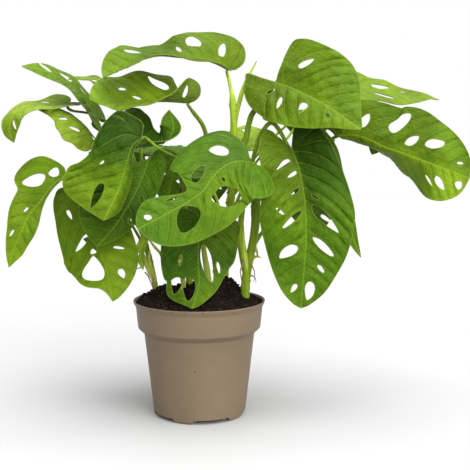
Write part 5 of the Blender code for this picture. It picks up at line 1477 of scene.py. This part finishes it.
def plastic_finish(name, looks):
    """Matt recycled plastic: faint bands from the mould, dark specks and dust near the rim."""
    finish, graph, shader, _ = new_finish(name)
    place = place_in_object(graph)
    clouds = graph.noise(place, 22, 4.0, 0.6)
    bands = graph.noise(graph.vector("MULTIPLY", place, (0.15, 0.15, 1)), 190, 3.0)
    grain = graph.noise(place, 1600, 2.0)
    light = graph.product(
        graph.span(clouds, 0.3, 0.7, 0.955, 1.045), graph.span(bands, 0.3, 0.7, 0.975, 1.025))
    light = graph.product(light, graph.span(grain, 0.3, 0.7, 0.97, 1.03))
    skin = graph.vector("SCALE", (*looks.colour,), light)
    split = graph.node("ShaderNodeSeparateXYZ", None, Vector=place).outputs
    ring = graph.distance(split["X"], split["Y"])
    dust_zone = graph.product(
        graph.span(split["Z"], *DUST_HEIGHTS, 0, 1), graph.span(ring, *DUST_RADII, 0, 1))
    specks = graph.span(graph.noise(place, 330, 1.0), 0.67, 0.73, 0, 0.75)
    skin = graph.mix(graph.product(specks, dust_zone), skin, DUST_COLOUR)
    across = graph.math("SUBTRACT", split["X"], GATE_PLACE[0] * MM)
    up = graph.math("SUBTRACT", split["Z"], GATE_PLACE[1] * MM)
    far = graph.distance(across, up)
    front = graph.math("LESS_THAN", split["Y"], 0.0)
    dot = graph.product(graph.span(far, 0.0006, 0.0012, 0.85, 0), front)
    halo = graph.product(graph.span(far, 0.0012, 0.0030, 0.10, 0), front)
    skin = graph.mix(halo, skin, GATE_HALO)
    skin = graph.mix(dot, skin, GATE_COLOUR)
    smooth, rough = looks.roughness - 0.05, looks.roughness + 0.06
    graph.feed(shader.inputs["Base Color"], skin)
    graph.feed(shader.inputs["Roughness"], graph.span(clouds, 0.2, 0.8, smooth, rough))
    graph.feed(shader.inputs["Normal"], graph.bump(graph.math("MULTIPLY_ADD", bands, 0.5, grain), 0.00006))
    shader.inputs["Specular IOR Level"].default_value = 0.4
    return finish


# Operators

class PLANT_OT_set_stage(bpy.types.Operator):
    """Sets the pale floor, the soft light and the camera"""

    bl_idname = "plant.set_stage"
    bl_label = "Set the Stage"

    def execute(self, context):
        looks = context.scene.plant_stage
        scene = context.scene
        camera = bpy.data.cameras.new("camera")
        camera.lens = CAMERA_LENS
        camera.sensor_width = CAMERA_SENSOR
        camera.clip_start = 0.05
        holder = bpy.data.objects.new("camera", camera)
        holder.location = CAMERA_PLACE
        holder.rotation_euler = (math.radians(CAMERA_PITCH), 0, 0)
        scene.collection.objects.link(holder)
        scene.camera = holder

        finish, graph, shader, _ = new_finish("floor")
        shade = graph.span(graph.noise(place_in_object(graph), 3.0), 0.3, 0.7, 0.985, 1.0)
        graph.feed(shader.inputs["Base Color"], graph.vector("SCALE", (*looks.floor_colour,), shade))
        shader.inputs["Roughness"].default_value = 0.6
        shader.inputs["Specular IOR Level"].default_value = 0.1
        reach = FLOOR_REACH
        corners = [(-reach, -reach, 0), (reach, -reach, 0), (reach, reach, 0), (-reach, reach, 0)]
        floor = new_object("floor", new_mesh("floor", corners, [(0, 1, 2, 3)], [finish]))

        world = bpy.data.worlds.new("studio")
        world.use_nodes = True
        sky = world.node_tree.nodes["Background"]
        sky.inputs["Color"].default_value = (1, 1, 1, 1)
        sky.inputs["Strength"].default_value = looks.sky
        scene.world = world
        for name, strength, aim in (
            ("overhead", looks.overhead, OVERHEAD_AIM), ("front", looks.front, FRONT_AIM),
        ):
            light = bpy.data.lights.new(name, "SUN")
            light.energy = strength
            light.angle = looks.softness
            holder = bpy.data.objects.new(name, light)
            holder.rotation_euler = Vector(aim).to_track_quat("-Z", "Y").to_euler()
            scene.collection.objects.link(holder)
        scene.view_settings.view_transform = "Standard"
        return {"FINISHED"}


class PLANT_OT_build_pot(bpy.types.Operator):
    """Turns the nursery pot, with its drainage notches and holes"""

    bl_idname = "plant.build_pot"
    bl_label = "Build the Pot"

    def execute(self, context):
        looks = context.scene.plant_pot
        outline = [*reversed(POT_INSIDE), *reversed(POT_WALL)]
        under = [
            (POT_CHANNEL_EDGE + FOOT_SLOPE, 0), (POT_CHANNEL_EDGE, POT_CHANNEL),
            (POT_CENTRE_FOOT + FOOT_SLOPE, POT_CHANNEL), (POT_CENTRE_FOOT, 0),
        ]
        profile = rounded([(0, POT_FLOOR), *outline, *under, (0, 0)], POT_FILLET)
        finish = plastic_finish("pot_plastic", looks)
        pot = turned("nursery_pot", profile, looks.sides, finish)
        cutters = []
        for i in range(NOTCH_COUNT):
            turn = math.radians(NOTCH_TURN + i * 360 / NOTCH_COUNT)
            cutters.append(self.notch(f"notch_{i}", turn, finish))
        for i in range(DRAIN_COUNT):
            turn = math.radians((i + 0.5) * 360 / DRAIN_COUNT)
            reach = (POT_CENTRE_FOOT + POT_CHANNEL_EDGE) / 2 + 1
            bpy.ops.mesh.primitive_cylinder_add(
                vertices=DRAIN_SIDES, radius=DRAIN_RADIUS * MM, depth=4 * POT_FLOOR * MM,
                location=(reach * math.cos(turn) * MM, reach * math.sin(turn) * MM, POT_FLOOR * MM))
            cutters.append(context.object)
        for cutter in cutters:
            cut = pot.modifiers.new(cutter.name, "BOOLEAN")
            cut.operation = "DIFFERENCE"
            cut.object = cutter
            cut.solver = "EXACT"
        pot = made_plain(pot)
        for cutter in cutters:
            bpy.data.objects.remove(cutter)
        shade_smooth(pot, POT_SMOOTH_ANGLE)
        settle(pot, "pot", "pot")
        return {"FINISHED"}

    def notch(self, name, turn, finish):
        """A block with sloped ends that cuts one notch into the foot."""
        inner, outer = POT_CHANNEL_EDGE - 1, POT_WALL[2][0] + 5
        wide, narrow, top = NOTCH_WIDTH / 2 + FOOT_SLOPE, NOTCH_WIDTH / 2, POT_CHANNEL + 0.3
        points = []
        for reach in (inner, outer):
            points += [(reach, -wide, -1), (reach, wide, -1), (reach, narrow, top), (reach, -narrow, top)]
        faces = [(0, 3, 2, 1), (4, 5, 6, 7), (0, 1, 5, 4), (1, 2, 6, 5), (2, 3, 7, 6), (3, 0, 4, 7)]
        c, s = math.cos(turn), math.sin(turn)
        points = [(x * c - y * s, x * s + y * c, z) for x, y, z in points]
        block = new_object(name, new_mesh(name, points, faces, [finish]))
        face_outward(block)
        return block


class PLANT_OT_fill_soil(bpy.types.Operator):
    """Fills the pot with soil and scatters crumbs and fibres on it"""

    bl_idname = "plant.fill_soil"
    bl_label = "Fill with Soil"

    def execute(self, context):
        looks = context.scene.plant_soil
        finish = soil_finish("soil", looks.colour, 1.0, 0.95)
        points, faces = soil_bed()
        bed = new_object("soil_bed", new_mesh("soil_bed", points, faces, [finish]))
        face_outward(bed)
        bed.data.shade_smooth()
        settle(bed, "soil", "soil")

        count = SOIL_RINGS * SOIL_SIDES
        tree = scatter_tree()
        kinds = [    # name, gap, density, smallest and largest size, length and lightness
            ("soil_lumps", 0.0034, 80000, looks.fine * 1.7, looks.coarse, 1.0, 1.5),
            ("soil_crumbs", 0.0011, 600000, looks.fine * 0.7, looks.fine * 1.7, 1.0, 1.3),
            ("soil_fibres", 0.0050, 40000, looks.fine * 0.30, looks.fine * 0.45, 14.0, 2.2),
        ]
        for i, (name, gap, density, smallest, largest, length, light) in enumerate(kinds):
            colour = looks.fibre_colour if length > 1 else looks.colour
            finish = soil_finish(name, colour, light, 0.9)
            surface = new_object(name, new_mesh(name, points[:1 + count], faces[:count], [finish]))
            with_tree(
                surface, tree, Gap=gap, Density=float(density), Smallest=smallest, Largest=largest,
                Length=length, Seed=looks.seed + i, Finish=finish)
            settle(made_plain(surface), "soil")
        return {"FINISHED"}


class PLANT_OT_grow_stems(bpy.types.Operator):
    """Grows the stems with their leaf stalks, the rolled youngest leaf and the roots"""

    bl_idname = "plant.grow_stems"
    bl_label = "Grow the Stems"

    def execute(self, context):
        looks = context.scene.plant_stalks
        finishes = {
            "stem_tall": stalk_finish("young_stalk", looks, looks.young_colour, looks.old_colour),
            "stem_right": stalk_finish("green_stalk", looks, looks.colour, looks.old_colour),
            "stem_middle": stalk_finish("shaded_stalk", looks, looks.shaded_colour, looks.old_colour),
        }
        for name, (_, route) in STEMS.items():
            path = rod_path(route, STEM_SAMPLES)
            routes = [(path, stem_radii(name, path))]
            for leaf in LEAVES:
                if leaf.stem == name:
                    routes.append((stalk_route(leaf, STALK_SAMPLES), stalk_radii(leaf, STALK_SAMPLES)))
            if name == "stem_tall":
                routes.append((rod_path(SPEAR, SPEAR_SAMPLES), along_rod(SPEAR_RADII, SPEAR_SAMPLES)))
            finish = finishes.get(name, finishes["stem_right"])
            grown = sweep(name.replace("stem_", "shoot_"), routes, looks, finish, looks.groove)
            shade_smooth(grown, SMOOTH_ANGLE)
            settle(grown, "stem", name)
        self.roots(looks)
        self.sheaths(looks)
        return {"FINISHED"}

    def roots(self, looks):
        """Dry aerial roots that hang from the stems' lowest joints."""
        radii = np.linspace(1, 0.35, ROOT_SAMPLES)
        routes = [(rod_path(points, ROOT_SAMPLES), radius * radii) for points, radius in ROOTS]
        settle(sweep("aerial_roots", routes, looks, dry_finish("dry_root", looks)), "stem")

    def sheaths(self, looks):
        """Pale sheaths of old stalks at the stems' feet."""
        finish = stalk_finish("pale_sheath", looks, looks.young_colour, looks.sheath_colour)
        routes = [
            (rod_path(points, SHEATH_SAMPLES), along_rod(radii, SHEATH_SAMPLES))
            for points, radii in SHEATHS]
        settle(sweep("stalk_sheaths", routes, looks, finish, looks.groove), "stem")


class PLANT_OT_grow_blades(bpy.types.Operator):
    """Grows every leaf blade with its holes and veins"""

    bl_idname = "plant.grow_blades"
    bl_label = "Grow the Blades"

    def execute(self, context):
        looks = context.scene.plant_blades
        finishes = [leaf_finish("leaf_upper", looks, True), leaf_finish("leaf_under", looks, False)]
        for leaf in LEAVES:
            blade = grow_blade(leaf, looks, finishes)
            settle(blade, "leaf_pale" if leaf.name in PALE_LEAVES else "leaf", leaf.name)
        return {"FINISHED"}


OPERATORS = (
    PLANT_OT_set_stage, PLANT_OT_build_pot, PLANT_OT_fill_soil, PLANT_OT_grow_stems, PLANT_OT_grow_blades,
)
SETTINGS = {
    "plant_blades": BladeSettings, "plant_stalks": StalkSettings, "plant_soil": SoilSettings,
    "plant_pot": PotSettings, "plant_stage": StageSettings,
}


class PLANT_PT_panel(bpy.types.Panel):
    """Lists the plant's pieces and their settings"""

    bl_idname = "PLANT_PT_panel"
    bl_label = "Potted Plant"
    bl_space_type = "VIEW_3D"
    bl_region_type = "UI"
    bl_category = "Plant"

    def draw(self, context):
        for operator in OPERATORS:
            self.layout.operator(operator.bl_idname)
        for name, kind in SETTINGS.items():
            box = self.layout.box()
            for item in kind.__annotations__:
                box.prop(getattr(context.scene, name), item)


def register():
    """Adds the settings, operators and panel to Blender."""
    for kind in (*SETTINGS.values(), *OPERATORS, PLANT_PT_panel):
        bpy.utils.register_class(kind)
    for name, kind in SETTINGS.items():
        setattr(bpy.types.Scene, name, bpy.props.PointerProperty(type=kind))


def unregister():
    """Takes them out again."""
    for name in SETTINGS:
        delattr(bpy.types.Scene, name)
    for kind in (PLANT_PT_panel, *OPERATORS, *SETTINGS.values()):
        bpy.utils.unregister_class(kind)


def main():
    """Builds the stage and the plant."""
    register()
    bpy.ops.plant.set_stage()
    bpy.ops.plant.build_pot()
    bpy.ops.plant.fill_soil()
    bpy.ops.plant.grow_stems()
    bpy.ops.plant.grow_blades()


if __name__ == "__main__":
    main()
